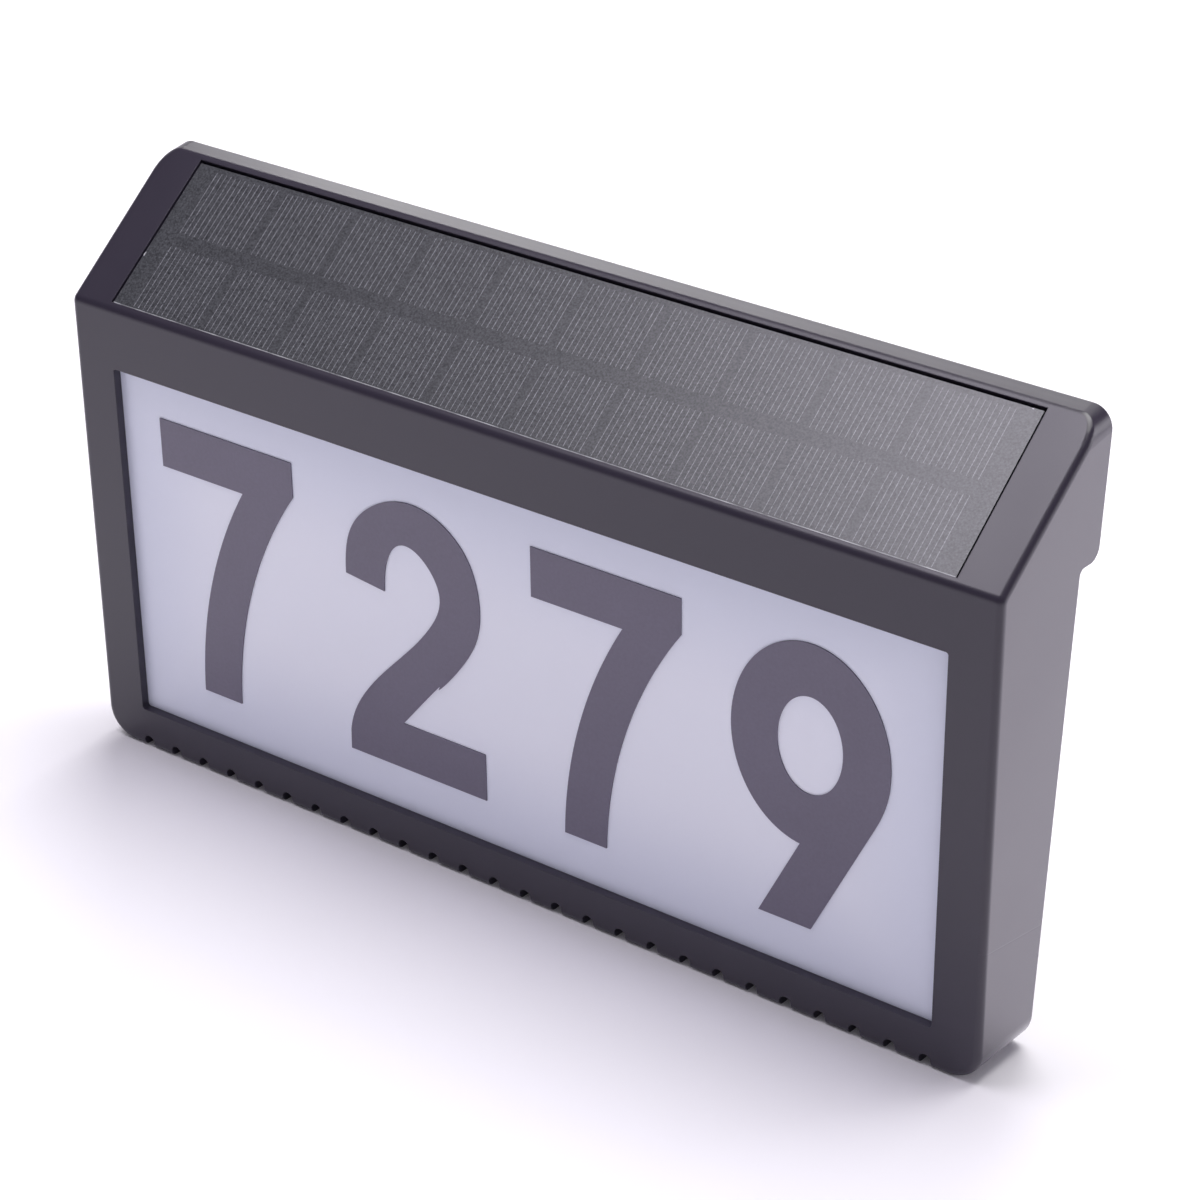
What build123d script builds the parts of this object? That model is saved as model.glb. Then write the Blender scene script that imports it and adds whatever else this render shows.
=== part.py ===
from build123d import *
import os
from math import cos, radians, sin, tan

# Solar house number sign for a wall beside a door: a deep frame that leans forward round a lit
# white panel, with a solar panel on its sloping top and a hump behind that meets the wall.
# X = 0 is its middle, Y = 0 the middle of its depth, Z = 0 its bottom edge. The front faces -Y
# and the wall is at +Y. All sizes are in millimetres and degrees.

os.makedirs("parts", exist_ok=True)

# ---- Body ----
REAR_WIDTH = 320.0  # across the body where it meets the wall
DEPTH = 48.6  # from the brow to the wall
HEIGHT = 188.0  # at the back of the top ledge
LEAN = 4.75  # the face leans out over its foot
SLOPE = 40.3  # the solar slope above level
SIDE_DRAFT = 1.0  # each side opens towards the wall
TOP_FALL = 9.5  # the top ledge falls towards the front
TOP_LEDGE = 5.8  # from the slope's top edge to the wall
HUMP_DEPTH = 9.2  # the hump stands behind the lower back
HUMP_HEIGHT = 42.5  # from the hump's underside to the top
HUMP_R = 4.0
HUMP_ROOT_R = 2.0
TOP_CORNER_R = 6.3
BOTTOM_CORNER_R = 9.8
BROW_R = 3.0
EDGE_R = 2.1  # round the outline of the face and the slope
WALL = 2.5  # sides, top and bottom
FACE_WALL = 2.8
FLOOR_WALL = 2.0  # under the solar panel's recess
SHARP_R = 0.4  # least radius of a moulded corner
CUT = 1.0  # cuts run this far past what they cut

# ---- Window and what it holds ----
WINDOW_SIDE = 15.8  # from the widest part of the sides to the window
WINDOW_FOOT = 13.4  # up the face to the window
WINDOW_HEAD = 19.65  # from the window to the sharp brow
WINDOW_R = 0.8
DIFFUSER_THICK = 3.0
DIFFUSER_LAP = 2.3  # behind the window's edge
TRAY_SPACE = 37.4  # the depth that the window, the board and the back take
TRAY_WALL = 1.5
TRAY_INSET = 6.0  # the tray narrows this much towards its back
FLANGE_FOOT = 7.0  # the tray's flange below the window
FLANGE_HEAD = 10.5  # and above it
TRAY_BOSS_R = 2.4
TRAY_BOSS_EDGE = 2.0  # from the flange's edge up or down to its screws
TRAY_BOSS_SIDE = 11.5  # from the flange's side to its last screws
TRAY_SCREW_COUNT = 4
TRAY_SCREW_BITE = 3.4
NUMERAL_THICK = 0.4
DIGIT_FOOT = 14.6  # from the window's foot to the digits
DIGIT_HEAD = 13.0
DIGIT_SHARE = 0.1768  # a digit's width as a share of the window's, and below their left sides
LEFT_SHARES = {"numeral_7_left": -0.4482, "numeral_2": -0.2096, "numeral_7_right": 0.0297, "numeral_9": 0.264}

# ---- Notches along the foot ----
NOTCH_COUNT = 26
NOTCH_PITCH = 11.4
NOTCH_WIDTH = 3.8
NOTCH_HEIGHT = 3.8
NOTCH_DEPTH = 6.0
RAIL_WALL = 2.0  # over and behind the notches

# ---- Solar panel ----
PANEL_SIDE = 16.0  # from the widest part of the sides to the panel
PANEL_FOOT = 2.6  # up the slope from the sharp brow
PANEL_HEAD = 2.5  # from the panel to the slope's top edge
PANEL_SIDE_GAP = 0.6
PANEL_FOOT_GAP = 0.1
PANEL_HEAD_GAP = 1.0
PANEL_SINK = 0.3  # below the slope's surface
LAMINATE_THICK = 0.5
CELL_THICK = 0.2
BACKING_THICK = 1.2
TAPE_THICK = 0.5
TAPE_WIDTH = 8.0
CELL_COLUMNS = 10
CELL_GAP = 2.7
CELL_ROW_GAP = 3.6
CELL_SIDE = 6.85  # from the cells to the panel's sides
CELL_END = 0.8  # and to its lower and upper edges
LEAD_HOLE_R = 3.0
LEAD_X = 84.0  # where the panel's leads go down
LEAD_GAP = 2.6

# ---- Rear cover ----
COVER_THICK = 2.4
COVER_FIT = 0.25
GASKET_THICK = 1.0
GASKET_WIDTH = 2.6
LEDGE_THICK = 2.0
LEDGE_WIDTH = 3.2
POST_R = 3.3
POST_INSET = 9.6  # from the widest part of the sides
POST_FOOT_Z = 22.0  # the lowest posts beside the window
POST_UNDER = 13.5  # the highest of them, below the hump's underside
POST_HUMP_DROP = 23.0  # the posts in the hump, below the top
POST_EDGE_X = 60.0
POST_BOTTOM_Z = 9.2
POST_TOP_DROP = 9.3
POST_RIB = 1.6
SCREW_R = 1.5
SCREW_HEAD_R = 2.7
SCREW_LENGTH = 7.0
PILOT_FIT = 0.05  # round a screw in its pilot hole
CLEAR_FIT = 0.2  # round a screw in a through hole
HEAD_SINK = 0.1  # screw heads sit this far below the surface
TIP_GAP = 0.4  # under a screw's tip

# ---- Keyholes ----
KEYHOLE_SPACING = 200.0
KEYHOLE_LIFT = 14.5  # above the hump's underside
KEYHOLE_R = 4.2
KEYHOLE_SLOT_R = 2.2
KEYHOLE_RISE = 10.0
POCKET_DEPTH = 7.5
POCKET_WALL = 1.5
POCKET_MARGIN = 0.6

# ---- Mode button and its switch ----
BUTTON_LIFT = 4.0  # above the control board's middle
BUTTON_R = 3.75
BUTTON_FIT = 0.07
BUTTON_PROUD = 1.0
BUTTON_FLANGE_R = 5.0
BUTTON_FLANGE = 1.0
BUTTON_REST_GAP = 0.1
GUARD_R = 6.6
GUARD_WALL = 1.5
GUARD_HEIGHT = 1.5
SWITCH_SIDE = 8.5
SWITCH_HEIGHT = 5.4
PLUNGER_R = 1.7
PLUNGER_FIT = 0.06
PLUNGER_SEAT = 1.2
SWITCH_TRAVEL = 1.5

# ---- Electronics ----
BOARD_THICK = 1.6
BOARD_X = 65.0
BOARD_DROP = 27.5  # its middle, below the hump's underside
BOARD_WIDTH = 70.0
BOARD_HEIGHT = 32.0
BOARD_HOLE_INSET = 4.0
STANDOFF = 8.5
STANDOFF_R = 2.8
SMALL_SCREW_R = 1.1
SMALL_HEAD_R = 2.0
SMALL_HEAD = 1.5
SMALL_SCREW_LENGTH = 4.4
CHIP_WIDTH = 6.0
CHIP_HEIGHT = 5.0
CHIP_THICK = 1.6
CAN_R = 3.5
CAN_HEIGHT = 3.0
LED_BOARD_SIDE = 9.2  # from the window's sides
LED_BOARD_HEIGHT = 8.0
LED_COUNT = 12
LED_WIDTH = 3.5
LED_HEIGHT = 2.8
LED_THICK = 1.9
LED_INSET = 16.0  # from the window's foot or head to a strip's middle
CELL_18650_R = 9.2
CELL_18650_LENGTH = 65.0
HOLDER_WALL = 1.5
HOLDER_FIT = 0.1
CONTACT_THICK = 0.5
CONTACT_SPACE = 1.5
EAR_LENGTH = 9.0
EAR_POST = 4.0
LEAD_R = 0.7
LEAD_BEND = 8.0  # from a plug to its leads' first bend
LEAD_CLEAR = 3.0  # behind the light tray
LOWER_LEAD_X = 50.0
UPPER_LEAD_X = 108.0
UPPER_PLUG_X = 80.0
BATTERY_PLUG_X = 62.0
PLUG_WIDTH = 7.5
PLUG_HEIGHT = 6.0
PLUG_DEPTH = 4.0
PLUG_EDGE = 2.0  # from the board's edge

# ---- Places that follow from the sizes ----
lean = radians(LEAN)
slope = radians(SLOPE)
turn = radians(90 + LEAN - SLOPE)
WALL_Y = DEPTH / 2
LOW_Y = WALL_Y - HUMP_DEPTH
BROW_Y = -DEPTH / 2 - BROW_R * (tan(turn / 2) * sin(lean) + cos(lean) - 1)
TOP_Y = WALL_Y - TOP_LEDGE
TOP_Z = HEIGHT - TOP_LEDGE * tan(radians(TOP_FALL))
BROW_Z = TOP_Z - (TOP_Y - BROW_Y) * tan(slope)
FACE_LENGTH = BROW_Z / cos(lean)
SLOPE_LENGTH = (TOP_Y - BROW_Y) / cos(slope)
FOOT_Y = BROW_Y + FACE_LENGTH * sin(lean)
HUMP_Z = HEIGHT - HUMP_HEIGHT
RECESS_DEPTH = TAPE_THICK + BACKING_THICK + CELL_THICK + LAMINATE_THICK + PANEL_SINK
SLOPE_WALL = RECESS_DEPTH + FLOOR_WALL
COVER_IN_Y = LOW_Y - COVER_THICK
HUMP_IN_Y = WALL_Y - COVER_THICK
BOARD_Y = COVER_IN_Y - STANDOFF
BOARD_Z = HUMP_Z - BOARD_DROP
BUTTON_X = BOARD_X
BUTTON_Z = BOARD_Z + BUTTON_LIFT
WINDOW_WIDTH = REAR_WIDTH - 2 * WINDOW_SIDE
WINDOW_HEIGHT = FACE_LENGTH - WINDOW_FOOT - WINDOW_HEAD
WINDOW_MID = WINDOW_FOOT + WINDOW_HEIGHT / 2
DIGIT_WIDTH = DIGIT_SHARE * WINDOW_WIDTH
DIGIT_HEIGHT = WINDOW_HEIGHT - DIGIT_FOOT - DIGIT_HEAD
TRAY_DEPTH = DEPTH - TRAY_SPACE
TRAY_WIDTH = WINDOW_WIDTH + 2 * DIFFUSER_LAP
TRAY_FOOT = WINDOW_FOOT - FLANGE_FOOT
TRAY_HEAD = WINDOW_FOOT + WINDOW_HEIGHT + FLANGE_HEAD
RAIL_Z = NOTCH_HEIGHT + RAIL_WALL
PANEL_WIDTH = REAR_WIDTH - 2 * PANEL_SIDE
PANEL_LENGTH = SLOPE_LENGTH - PANEL_FOOT - PANEL_HEAD
PANEL_MID = PANEL_FOOT + PANEL_LENGTH / 2
CELL_WIDTH = (PANEL_WIDTH - 2 * CELL_SIDE + CELL_GAP) / CELL_COLUMNS - CELL_GAP
CELL_LENGTH = (PANEL_LENGTH - 2 * CELL_END - CELL_ROW_GAP) / 2
CELL_Y = HUMP_IN_Y - HOLDER_WALL - HOLDER_FIT - CELL_18650_R
BATTERY_Z = HUMP_Z + max(HUMP_R, COVER_THICK) + HOLDER_WALL + 2 * HOLDER_FIT + CELL_18650_R
TRAY_SCREW_HEIGHTS = (TRAY_FOOT + TRAY_BOSS_EDGE, TRAY_HEAD - TRAY_BOSS_EDGE)
TRAY_SCREW_SPACING = (TRAY_WIDTH - 2 * TRAY_BOSS_SIDE) / (TRAY_SCREW_COUNT - 1)
KEYHOLE_Z = HUMP_Z + KEYHOLE_LIFT
POST_X = REAR_WIDTH / 2 - POST_INSET
POST_HIGH_Z = HUMP_Z - POST_UNDER
POST_ROWS = (POST_FOOT_Z, (POST_FOOT_Z + POST_HIGH_Z) / 2, POST_HIGH_Z)
LED_BOARD_WIDTH = WINDOW_WIDTH - 2 * LED_BOARD_SIDE
LED_PITCH = LED_BOARD_WIDTH / LED_COUNT

# Side views are drawn clear of the body on its left: x is depth and y is height
SIDE = Plane.YZ.offset(-REAR_WIDTH)
# The face and the slope as drawing planes: x across, y up the surface, z out of it
FACE = Plane(origin=(0, FOOT_Y, 0), x_dir=(1, 0, 0), z_dir=(0, -cos(lean), -sin(lean)))
SLOPED = Plane(origin=(0, BROW_Y, BROW_Z), x_dir=(1, 0, 0), z_dir=(0, -sin(slope), cos(slope)))
DIFFUSER_FRONT = FACE.offset(-FACE_WALL)
DIFFUSER_BACK = FACE.offset(-FACE_WALL - DIFFUSER_THICK)
TRAY_FLOOR = DIFFUSER_BACK.offset(-(TRAY_DEPTH - TRAY_WALL))
RECESS_FLOOR = SLOPED.offset(-RECESS_DEPTH)
STRIP_HEIGHTS = {"lower": WINDOW_FOOT + LED_INSET, "upper": WINDOW_FOOT + WINDOW_HEIGHT - LED_INSET}
STRIP_LEADS = {"lower": LOWER_LEAD_X, "upper": UPPER_LEAD_X}


def upright(y):
    """Plane across the body at depth y: x to the right, y up, facing the front."""
    return Plane.XZ.offset(-y)


def backward(x, y, z):
    """Plane at a point, facing the wall."""
    return Plane(origin=(x, y, z), x_dir=(-1, 0, 0), z_dir=(0, 1, 0))


def forward(x, y, z):
    """Plane at a point, facing the front."""
    return Plane(origin=(x, y, z), x_dir=(1, 0, 0), z_dir=(0, -1, 0))


def face_y(z, inset=0.0):
    """Depth of the face at height z, drawn in by the inset."""
    return FOOT_Y - z * tan(lean) + inset / cos(lean)


def slope_z(y, inset=0.0):
    """Height of the slope at depth y, drawn in by the inset."""
    return BROW_Z + (y - BROW_Y) * tan(slope) - inset / cos(slope)


def brow_point(face_inset=0.0, slope_inset=0.0):
    """Where the face and the slope meet, each drawn in by its inset."""
    z = slope_z(face_y(0, face_inset), slope_inset) / (1 + tan(lean) * tan(slope))
    return face_y(z, face_inset), z


def half_width(y, inset=0.0):
    """Half the body's width at depth y, drawn in by the inset."""
    return REAR_WIDTH / 2 - (WALL_Y - y) * tan(radians(SIDE_DRAFT)) - inset


def rear_line(inset, bottom, top):
    """The stepped back from below: lower back, the hump's underside, the hump."""
    return FilletPolyline(
        (LOW_Y - inset, bottom),
        (LOW_Y - inset, HUMP_Z + inset),
        (WALL_Y - inset, HUMP_Z + inset),
        (WALL_Y - inset, top),
        radius=[HUMP_ROOT_R + inset / 2, max(HUMP_R - inset, SHARP_R)],
    )


def rear_band(outer, inner):
    """Side view of a layer that follows the stepped back, between two depths in from it."""
    with BuildSketch(SIDE) as band:
        with BuildLine():
            rear_line(outer, -CUT, HEIGHT + CUT)
            rear_line(inner, -CUT, HEIGHT + CUT)
            Line((LOW_Y - outer, -CUT), (LOW_Y - inner, -CUT))
            Line((WALL_Y - outer, HEIGHT + CUT), (WALL_Y - inner, HEIGHT + CUT))
        make_face()
    return band.sketch


def drafted_form(side_view, inset=0.0):
    """The body's drafted block with its four rounded corners, cut to a side view."""
    front, rear = -DEPTH, DEPTH
    with BuildPart() as form:
        with BuildSketch(Plane.XY.offset(inset)):
            with BuildLine():
                Polyline(
                    (-half_width(front, inset), front),
                    (half_width(front, inset), front),
                    (half_width(rear, inset), rear),
                    (-half_width(rear, inset), rear),
                    close=True,
                )
            make_face()
        extrude(amount=HEIGHT + DEPTH)
        top_plane = Plane(
            origin=(0, WALL_Y, HEIGHT - inset),
            x_dir=(1, 0, 0),
            z_dir=(0, -sin(radians(TOP_FALL)), cos(radians(TOP_FALL))),
        )
        split(bisect_by=top_plane, keep=Keep.BOTTOM)
        top_edges = form.faces().sort_by(Axis.Z)[-1].edges().sort_by(Axis.X)
        fillet([top_edges[0], top_edges[-1]], radius=max(TOP_CORNER_R - inset, SHARP_R))
        foot_edges = form.faces().sort_by(Axis.Z)[0].edges().sort_by(Axis.X)
        fillet([foot_edges[0], foot_edges[-1]], radius=max(BOTTOM_CORNER_R - inset, SHARP_R))
        extrude(side_view, amount=2 * REAR_WIDTH, dir=(1, 0, 0), mode=Mode.INTERSECT)
    return form.part


# ---- Screw places ----
side_posts = [(side * POST_X, COVER_IN_Y, z) for side in (-1, 1) for z in POST_ROWS]
foot_posts = [(side * POST_EDGE_X, COVER_IN_Y, POST_BOTTOM_Z) for side in (-1, 1)]
hump_posts = [(side * POST_X, HUMP_IN_Y, HEIGHT - POST_HUMP_DROP) for side in (-1, 1)]
head_posts = [(side * POST_EDGE_X, HUMP_IN_Y, HEIGHT - POST_TOP_DROP) for side in (-1, 1)]
COVER_SCREWS = side_posts + foot_posts + hump_posts + head_posts

tray_xs = [(i - (TRAY_SCREW_COUNT - 1) / 2) * TRAY_SCREW_SPACING for i in range(TRAY_SCREW_COUNT)]
TRAY_SCREWS = [(x, height) for x in tray_xs for height in TRAY_SCREW_HEIGHTS]
TRAY_SCREW_SEATS = [
    Plane(origin=DIFFUSER_BACK.from_local_coords((x, height, 0)), x_dir=(-1, 0, 0), z_dir=-FACE.z_dir)
    for x, height in TRAY_SCREWS
]

board_dx = BOARD_WIDTH / 2 - BOARD_HOLE_INSET
board_dz = BOARD_HEIGHT / 2 - BOARD_HOLE_INSET
BOARD_HOLES = [(BOARD_X + dx, BOARD_Z + dz) for dx in (-board_dx, board_dx) for dz in (-board_dz, board_dz)]
BOARD_SCREW_SEATS = [forward(x, BOARD_Y, z) for x, z in BOARD_HOLES]

holder_half = CELL_18650_LENGTH / 2 + CONTACT_SPACE + CONTACT_THICK + HOLDER_WALL
ear_mid = holder_half + EAR_LENGTH / 2
EARS = [(side * ear_mid, BATTERY_Z) for side in (-1, 1)]
HOLDER_SCREW_SEATS = [forward(x, HUMP_IN_Y - EAR_POST, z) for x, z in EARS]

# ---- Front housing ----
with BuildSketch(SIDE) as body_side:
    with BuildLine():
        rear_line(0, 0, slope_z(WALL_Y))
        Polyline((WALL_Y, slope_z(WALL_Y)), brow_point(), (FOOT_Y, 0), (LOW_Y, 0))
    make_face()

with BuildSketch(SIDE) as cavity_side:
    inner_brow = brow_point(FACE_WALL, SLOPE_WALL)
    rear = WALL_Y + CUT
    rail_y = FOOT_Y + NOTCH_DEPTH + RAIL_WALL
    with BuildLine():
        Polyline(
            (rear, 0),
            (rear, slope_z(rear, SLOPE_WALL)),
            inner_brow,
            (face_y(RAIL_Z, FACE_WALL), RAIL_Z),
            (rail_y, RAIL_Z),
            (rail_y, 0),
            close=True,
        )
    make_face()

# The outside: the brow is rounded first, then the foot, whose round runs on about the face and slope
with BuildPart() as outside:
    add(drafted_form(body_side.sketch))
    brow_edge = outside.edges().filter_by(Axis.X).sort_by(Axis.Y)[0]
    fillet(brow_edge, radius=BROW_R)
    foot_edge = outside.edges().filter_by(Axis.X).group_by(Axis.Z)[0].sort_by(Axis.Y)[0]
    fillet(foot_edge, radius=EDGE_R)

with BuildPart() as posts:
    # Screw posts beside the window stand on the face's inside
    with BuildSketch(upright(COVER_IN_Y)):
        with Locations(*[(x, z) for x, y, z in side_posts]):
            Circle(POST_R)
    extrude(amount=DEPTH)
    # Those in the hump stand on the slope's underside
    with BuildSketch(upright(HUMP_IN_Y)):
        with Locations(*[(x, z) for x, y, z in hump_posts + head_posts]):
            Circle(POST_R)
    extrude(amount=DEPTH)
    # Ribs tie the side posts to the side walls, under the cover's ledge
    rib_y = LOW_Y - COVER_THICK - GASKET_THICK
    rib_x = (POST_X + half_width(rib_y)) / 2
    with BuildSketch(upright(rib_y)):
        with Locations(*[(side * rib_x, z) for side in (-1, 1) for z in POST_ROWS]):
            Rectangle(half_width(rib_y) - POST_X, POST_RIB)
    extrude(amount=DEPTH)
    # Two short posts stand on the bottom wall behind the light tray
    with BuildSketch(upright(COVER_IN_Y)):
        with Locations(*[(x, z) for x, y, z in foot_posts]):
            Circle(POST_R)
    extrude(amount=SCREW_LENGTH)
    with BuildSketch(upright(rib_y)):
        with Locations(*[(x, z / 2) for x, y, z in foot_posts]):
            Rectangle(2 * POST_R, POST_BOTTOM_Z)
    extrude(amount=SCREW_LENGTH - GASKET_THICK)
    # Bosses for the light tray stand on the face's inside, above and below the window
    with BuildSketch(DIFFUSER_BACK):
        with Locations(*TRAY_SCREWS):
            Circle(TRAY_BOSS_R)
    extrude(amount=DIFFUSER_THICK + FACE_WALL / 2)
    add(outside.part, mode=Mode.INTERSECT)

# The ledge inside the rim, which the cover's gasket presses on
ledge_top = COVER_THICK + GASKET_THICK
ledge_foot = ledge_top + LEDGE_THICK
with BuildPart() as ledge:
    add(drafted_form(rear_band(ledge_top, ledge_foot), WALL / 2))
    add(drafted_form(rear_band(ledge_top - CUT, ledge_foot + CUT), WALL + LEDGE_WIDTH), mode=Mode.SUBTRACT)

with BuildPart() as front_housing:
    add(outside.part)
    add(drafted_form(cavity_side.sketch, WALL), mode=Mode.SUBTRACT)
    add(drafted_form(rear_band(-CUT, ledge_top), WALL), mode=Mode.SUBTRACT)
    add(ledge.part)
    add(posts.part)
    # Window
    with BuildSketch(FACE.offset(CUT)):
        with Locations((0, WINDOW_MID)):
            RectangleRounded(WINDOW_WIDTH, WINDOW_HEIGHT, WINDOW_R)
    extrude(amount=-FACE_WALL - 2 * CUT, mode=Mode.SUBTRACT)
    # Recess for the solar panel, and the hole for its leads
    recess_length = PANEL_LENGTH + PANEL_FOOT_GAP + PANEL_HEAD_GAP
    with BuildSketch(SLOPED.offset(CUT)):
        with Locations((0, PANEL_FOOT - PANEL_FOOT_GAP)):
            Rectangle(PANEL_WIDTH + 2 * PANEL_SIDE_GAP, recess_length, align=(Align.CENTER, Align.MIN))
    extrude(amount=-RECESS_DEPTH - CUT, mode=Mode.SUBTRACT)
    with BuildSketch(RECESS_FLOOR.offset(CUT)):
        with Locations((LEAD_X, PANEL_MID)):
            Circle(LEAD_HOLE_R)
    extrude(amount=-FLOOR_WALL - 2 * CUT, mode=Mode.SUBTRACT)
    # Round-topped notches run back under the foot
    with BuildSketch(upright(FOOT_Y + NOTCH_DEPTH)):
        with GridLocations(NOTCH_PITCH, 0, NOTCH_COUNT, 1):
            with Locations((0, NOTCH_HEIGHT - NOTCH_WIDTH / 2)):
                Circle(NOTCH_WIDTH / 2)
                Rectangle(NOTCH_WIDTH, NOTCH_HEIGHT, align=(Align.CENTER, Align.MAX))
    extrude(amount=NOTCH_DEPTH + DEPTH, mode=Mode.SUBTRACT)
    # Pilot holes in the cover posts and the tray bosses
    with Locations(*[backward(x, y, z) for x, y, z in COVER_SCREWS]):
        Cylinder(SCREW_R + PILOT_FIT, 2 * (SCREW_LENGTH - COVER_THICK + TIP_GAP), mode=Mode.SUBTRACT)
    with Locations(*TRAY_SCREW_SEATS):
        Cylinder(SMALL_SCREW_R + PILOT_FIT, 2 * TRAY_SCREW_BITE, mode=Mode.SUBTRACT)

# ---- Diffuser, numerals and the light tray ----
with BuildPart() as diffuser_panel:
    with BuildSketch(DIFFUSER_FRONT):
        with Locations((0, WINDOW_MID)):
            Rectangle(TRAY_WIDTH, WINDOW_HEIGHT + 2 * DIFFUSER_LAP)
    extrude(amount=-DIFFUSER_THICK)


# The digits are drawn in hundredths of their width and of their height
def at(across, up):
    """Point of a digit's outline in millimetres from its lower left corner."""
    return across / 100 * DIGIT_WIDTH, up / 100 * DIGIT_HEIGHT


def seven():
    """Flat bar and a leg that curves down to the left."""
    Line(at(49.4, 0), at(20.6, 0))
    ThreePointArc(at(20.6, 0), at(28.5, 35.4), at(61.6, 82.4))
    Polyline(at(61.6, 82.4), at(0, 82.4), at(0, 100), at(100, 100), at(100, 87.4))
    ThreePointArc(at(100, 87.4), at(65, 48.6), at(49.4, 0))


def two():
    """Open bowl that runs down into a slanted neck and a flat base."""
    bowl = [at(2.5, 66.9), at(12.4, 88.4), at(51.2, 100), at(89.9, 88.4), at(98.9, 71.3)]
    neck = [at(91.3, 53), at(67.7, 35.4), at(40.4, 17.4)]
    Spline(bowl + neck, tangents=[(0, 1), (-0.62, -0.78)])
    Polyline(at(40.4, 17.4), at(100, 17.4), at(100, 0), at(0, 0), at(0.4, 7.5))
    inner_neck = [at(0.4, 7.5), at(10.6, 22.1), at(36.4, 39.8), at(62.8, 57.5)]
    inner_bowl = [at(70.6, 70.7), at(50.8, 84.2), at(30.5, 65)]
    Spline(inner_neck + inner_bowl, tangents=[(0.15, 1), (0, -1)])
    Line(at(30.5, 65), at(2.5, 66.9))


def nine():
    """The leg of the 9, from its bowl's right side down to the left."""
    Spline(at(100, 64.7), at(91.2, 44.2), tangents=[(0, -1), (-0.435, -0.9)])
    Polyline(at(91.2, 44.2), at(53.1, 0), at(19.2, 0), at(50, 35.3), at(50, 64.7), at(100, 64.7))


numerals = {}
for name, left in LEFT_SHARES.items():
    corner = DIFFUSER_FRONT.from_local_coords((left * WINDOW_WIDTH, WINDOW_FOOT + DIGIT_FOOT, 0))
    with BuildPart() as numeral:
        with BuildSketch(Plane(origin=corner, x_dir=FACE.x_dir, z_dir=FACE.z_dir)):
            with BuildLine():
                {"7": seven, "2": two, "9": nine}[name[8]]()
            make_face()
            if name == "numeral_9":
                with Locations(at(50, 64.7)):
                    Ellipse(*at(50, 35.3))
                with Locations(at(50, 65.1)):
                    Ellipse(*at(20.6, 16.9), mode=Mode.SUBTRACT)
        extrude(amount=NUMERAL_THICK)
    numerals[name] = numeral

with BuildPart() as reflector_tray:
    with BuildSketch(DIFFUSER_BACK):
        with Locations((0, TRAY_FOOT)):
            Rectangle(TRAY_WIDTH, TRAY_HEAD - TRAY_FOOT, align=(Align.CENTER, Align.MIN))
    extrude(amount=-TRAY_WALL)
    # A flared box behind the flange, then the same box again as its hollow
    hollow_depth = TRAY_DEPTH - TRAY_WALL
    for grow, depth, mode in ((TRAY_WALL, TRAY_DEPTH, Mode.ADD), (0, hollow_depth, Mode.SUBTRACT)):
        for back in (0, depth):
            shrink = grow - TRAY_INSET * back / TRAY_DEPTH
            with BuildSketch(DIFFUSER_BACK.offset(-back)):
                with Locations((0, WINDOW_MID)):
                    Rectangle(WINDOW_WIDTH + 2 * shrink, WINDOW_HEIGHT + 2 * shrink)
        loft(ruled=True, mode=mode)
    with Locations(*TRAY_SCREW_SEATS):
        Cylinder(SMALL_SCREW_R + CLEAR_FIT, 4 * TRAY_WALL, mode=Mode.SUBTRACT)
    # Holes in its floor for the light strips' leads
    with BuildSketch(TRAY_FLOOR):
        with Locations(*[(STRIP_LEADS[name], height) for name, height in STRIP_HEIGHTS.items()]):
            Circle(LEAD_HOLE_R)
    extrude(amount=-2 * TRAY_WALL, mode=Mode.SUBTRACT)

with BuildPart() as tray_screws:
    with Locations(*[seat.offset(TRAY_WALL) for seat in TRAY_SCREW_SEATS]):
        Cylinder(SMALL_HEAD_R, SMALL_HEAD, align=(Align.CENTER, Align.CENTER, Align.MIN))
        shank = TRAY_WALL + TRAY_SCREW_BITE - TIP_GAP
        Cylinder(SMALL_SCREW_R, shank, align=(Align.CENTER, Align.CENTER, Align.MAX))

# ---- Light strips on the tray's floor ----
strips = {}
for name, height in STRIP_HEIGHTS.items():
    with BuildPart() as led_board:
        with BuildSketch(TRAY_FLOOR):
            with Locations((0, height)):
                Rectangle(LED_BOARD_WIDTH, LED_BOARD_HEIGHT)
        extrude(amount=BOARD_THICK)
    with BuildPart() as led_chips:
        with BuildSketch(TRAY_FLOOR.offset(BOARD_THICK)):
            with Locations((0, height)):
                with GridLocations(LED_PITCH, 0, LED_COUNT, 1):
                    Rectangle(LED_WIDTH, LED_HEIGHT)
        extrude(amount=LED_THICK)
    strips[f"led_board_{name}"] = led_board
    strips[f"led_chips_{name}"] = led_chips

# ---- Solar panel ----
with BuildPart() as panel_tape:
    with BuildSketch(RECESS_FLOOR):
        with Locations((0, PANEL_MID)):
            Rectangle(PANEL_WIDTH, PANEL_LENGTH)
            Rectangle(PANEL_WIDTH - 2 * TAPE_WIDTH, PANEL_LENGTH - 2 * TAPE_WIDTH, mode=Mode.SUBTRACT)
    extrude(amount=TAPE_THICK)

with BuildPart() as solar_backing:
    with BuildSketch(RECESS_FLOOR.offset(TAPE_THICK)):
        with Locations((0, PANEL_MID)):
            Rectangle(PANEL_WIDTH, PANEL_LENGTH)
    extrude(amount=BACKING_THICK)

with BuildPart() as solar_cells:
    with BuildSketch(RECESS_FLOOR.offset(TAPE_THICK + BACKING_THICK)):
        with Locations((0, PANEL_MID)):
            with GridLocations(CELL_WIDTH + CELL_GAP, CELL_LENGTH + CELL_ROW_GAP, CELL_COLUMNS, 2):
                Rectangle(CELL_WIDTH, CELL_LENGTH)
    extrude(amount=CELL_THICK)

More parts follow.
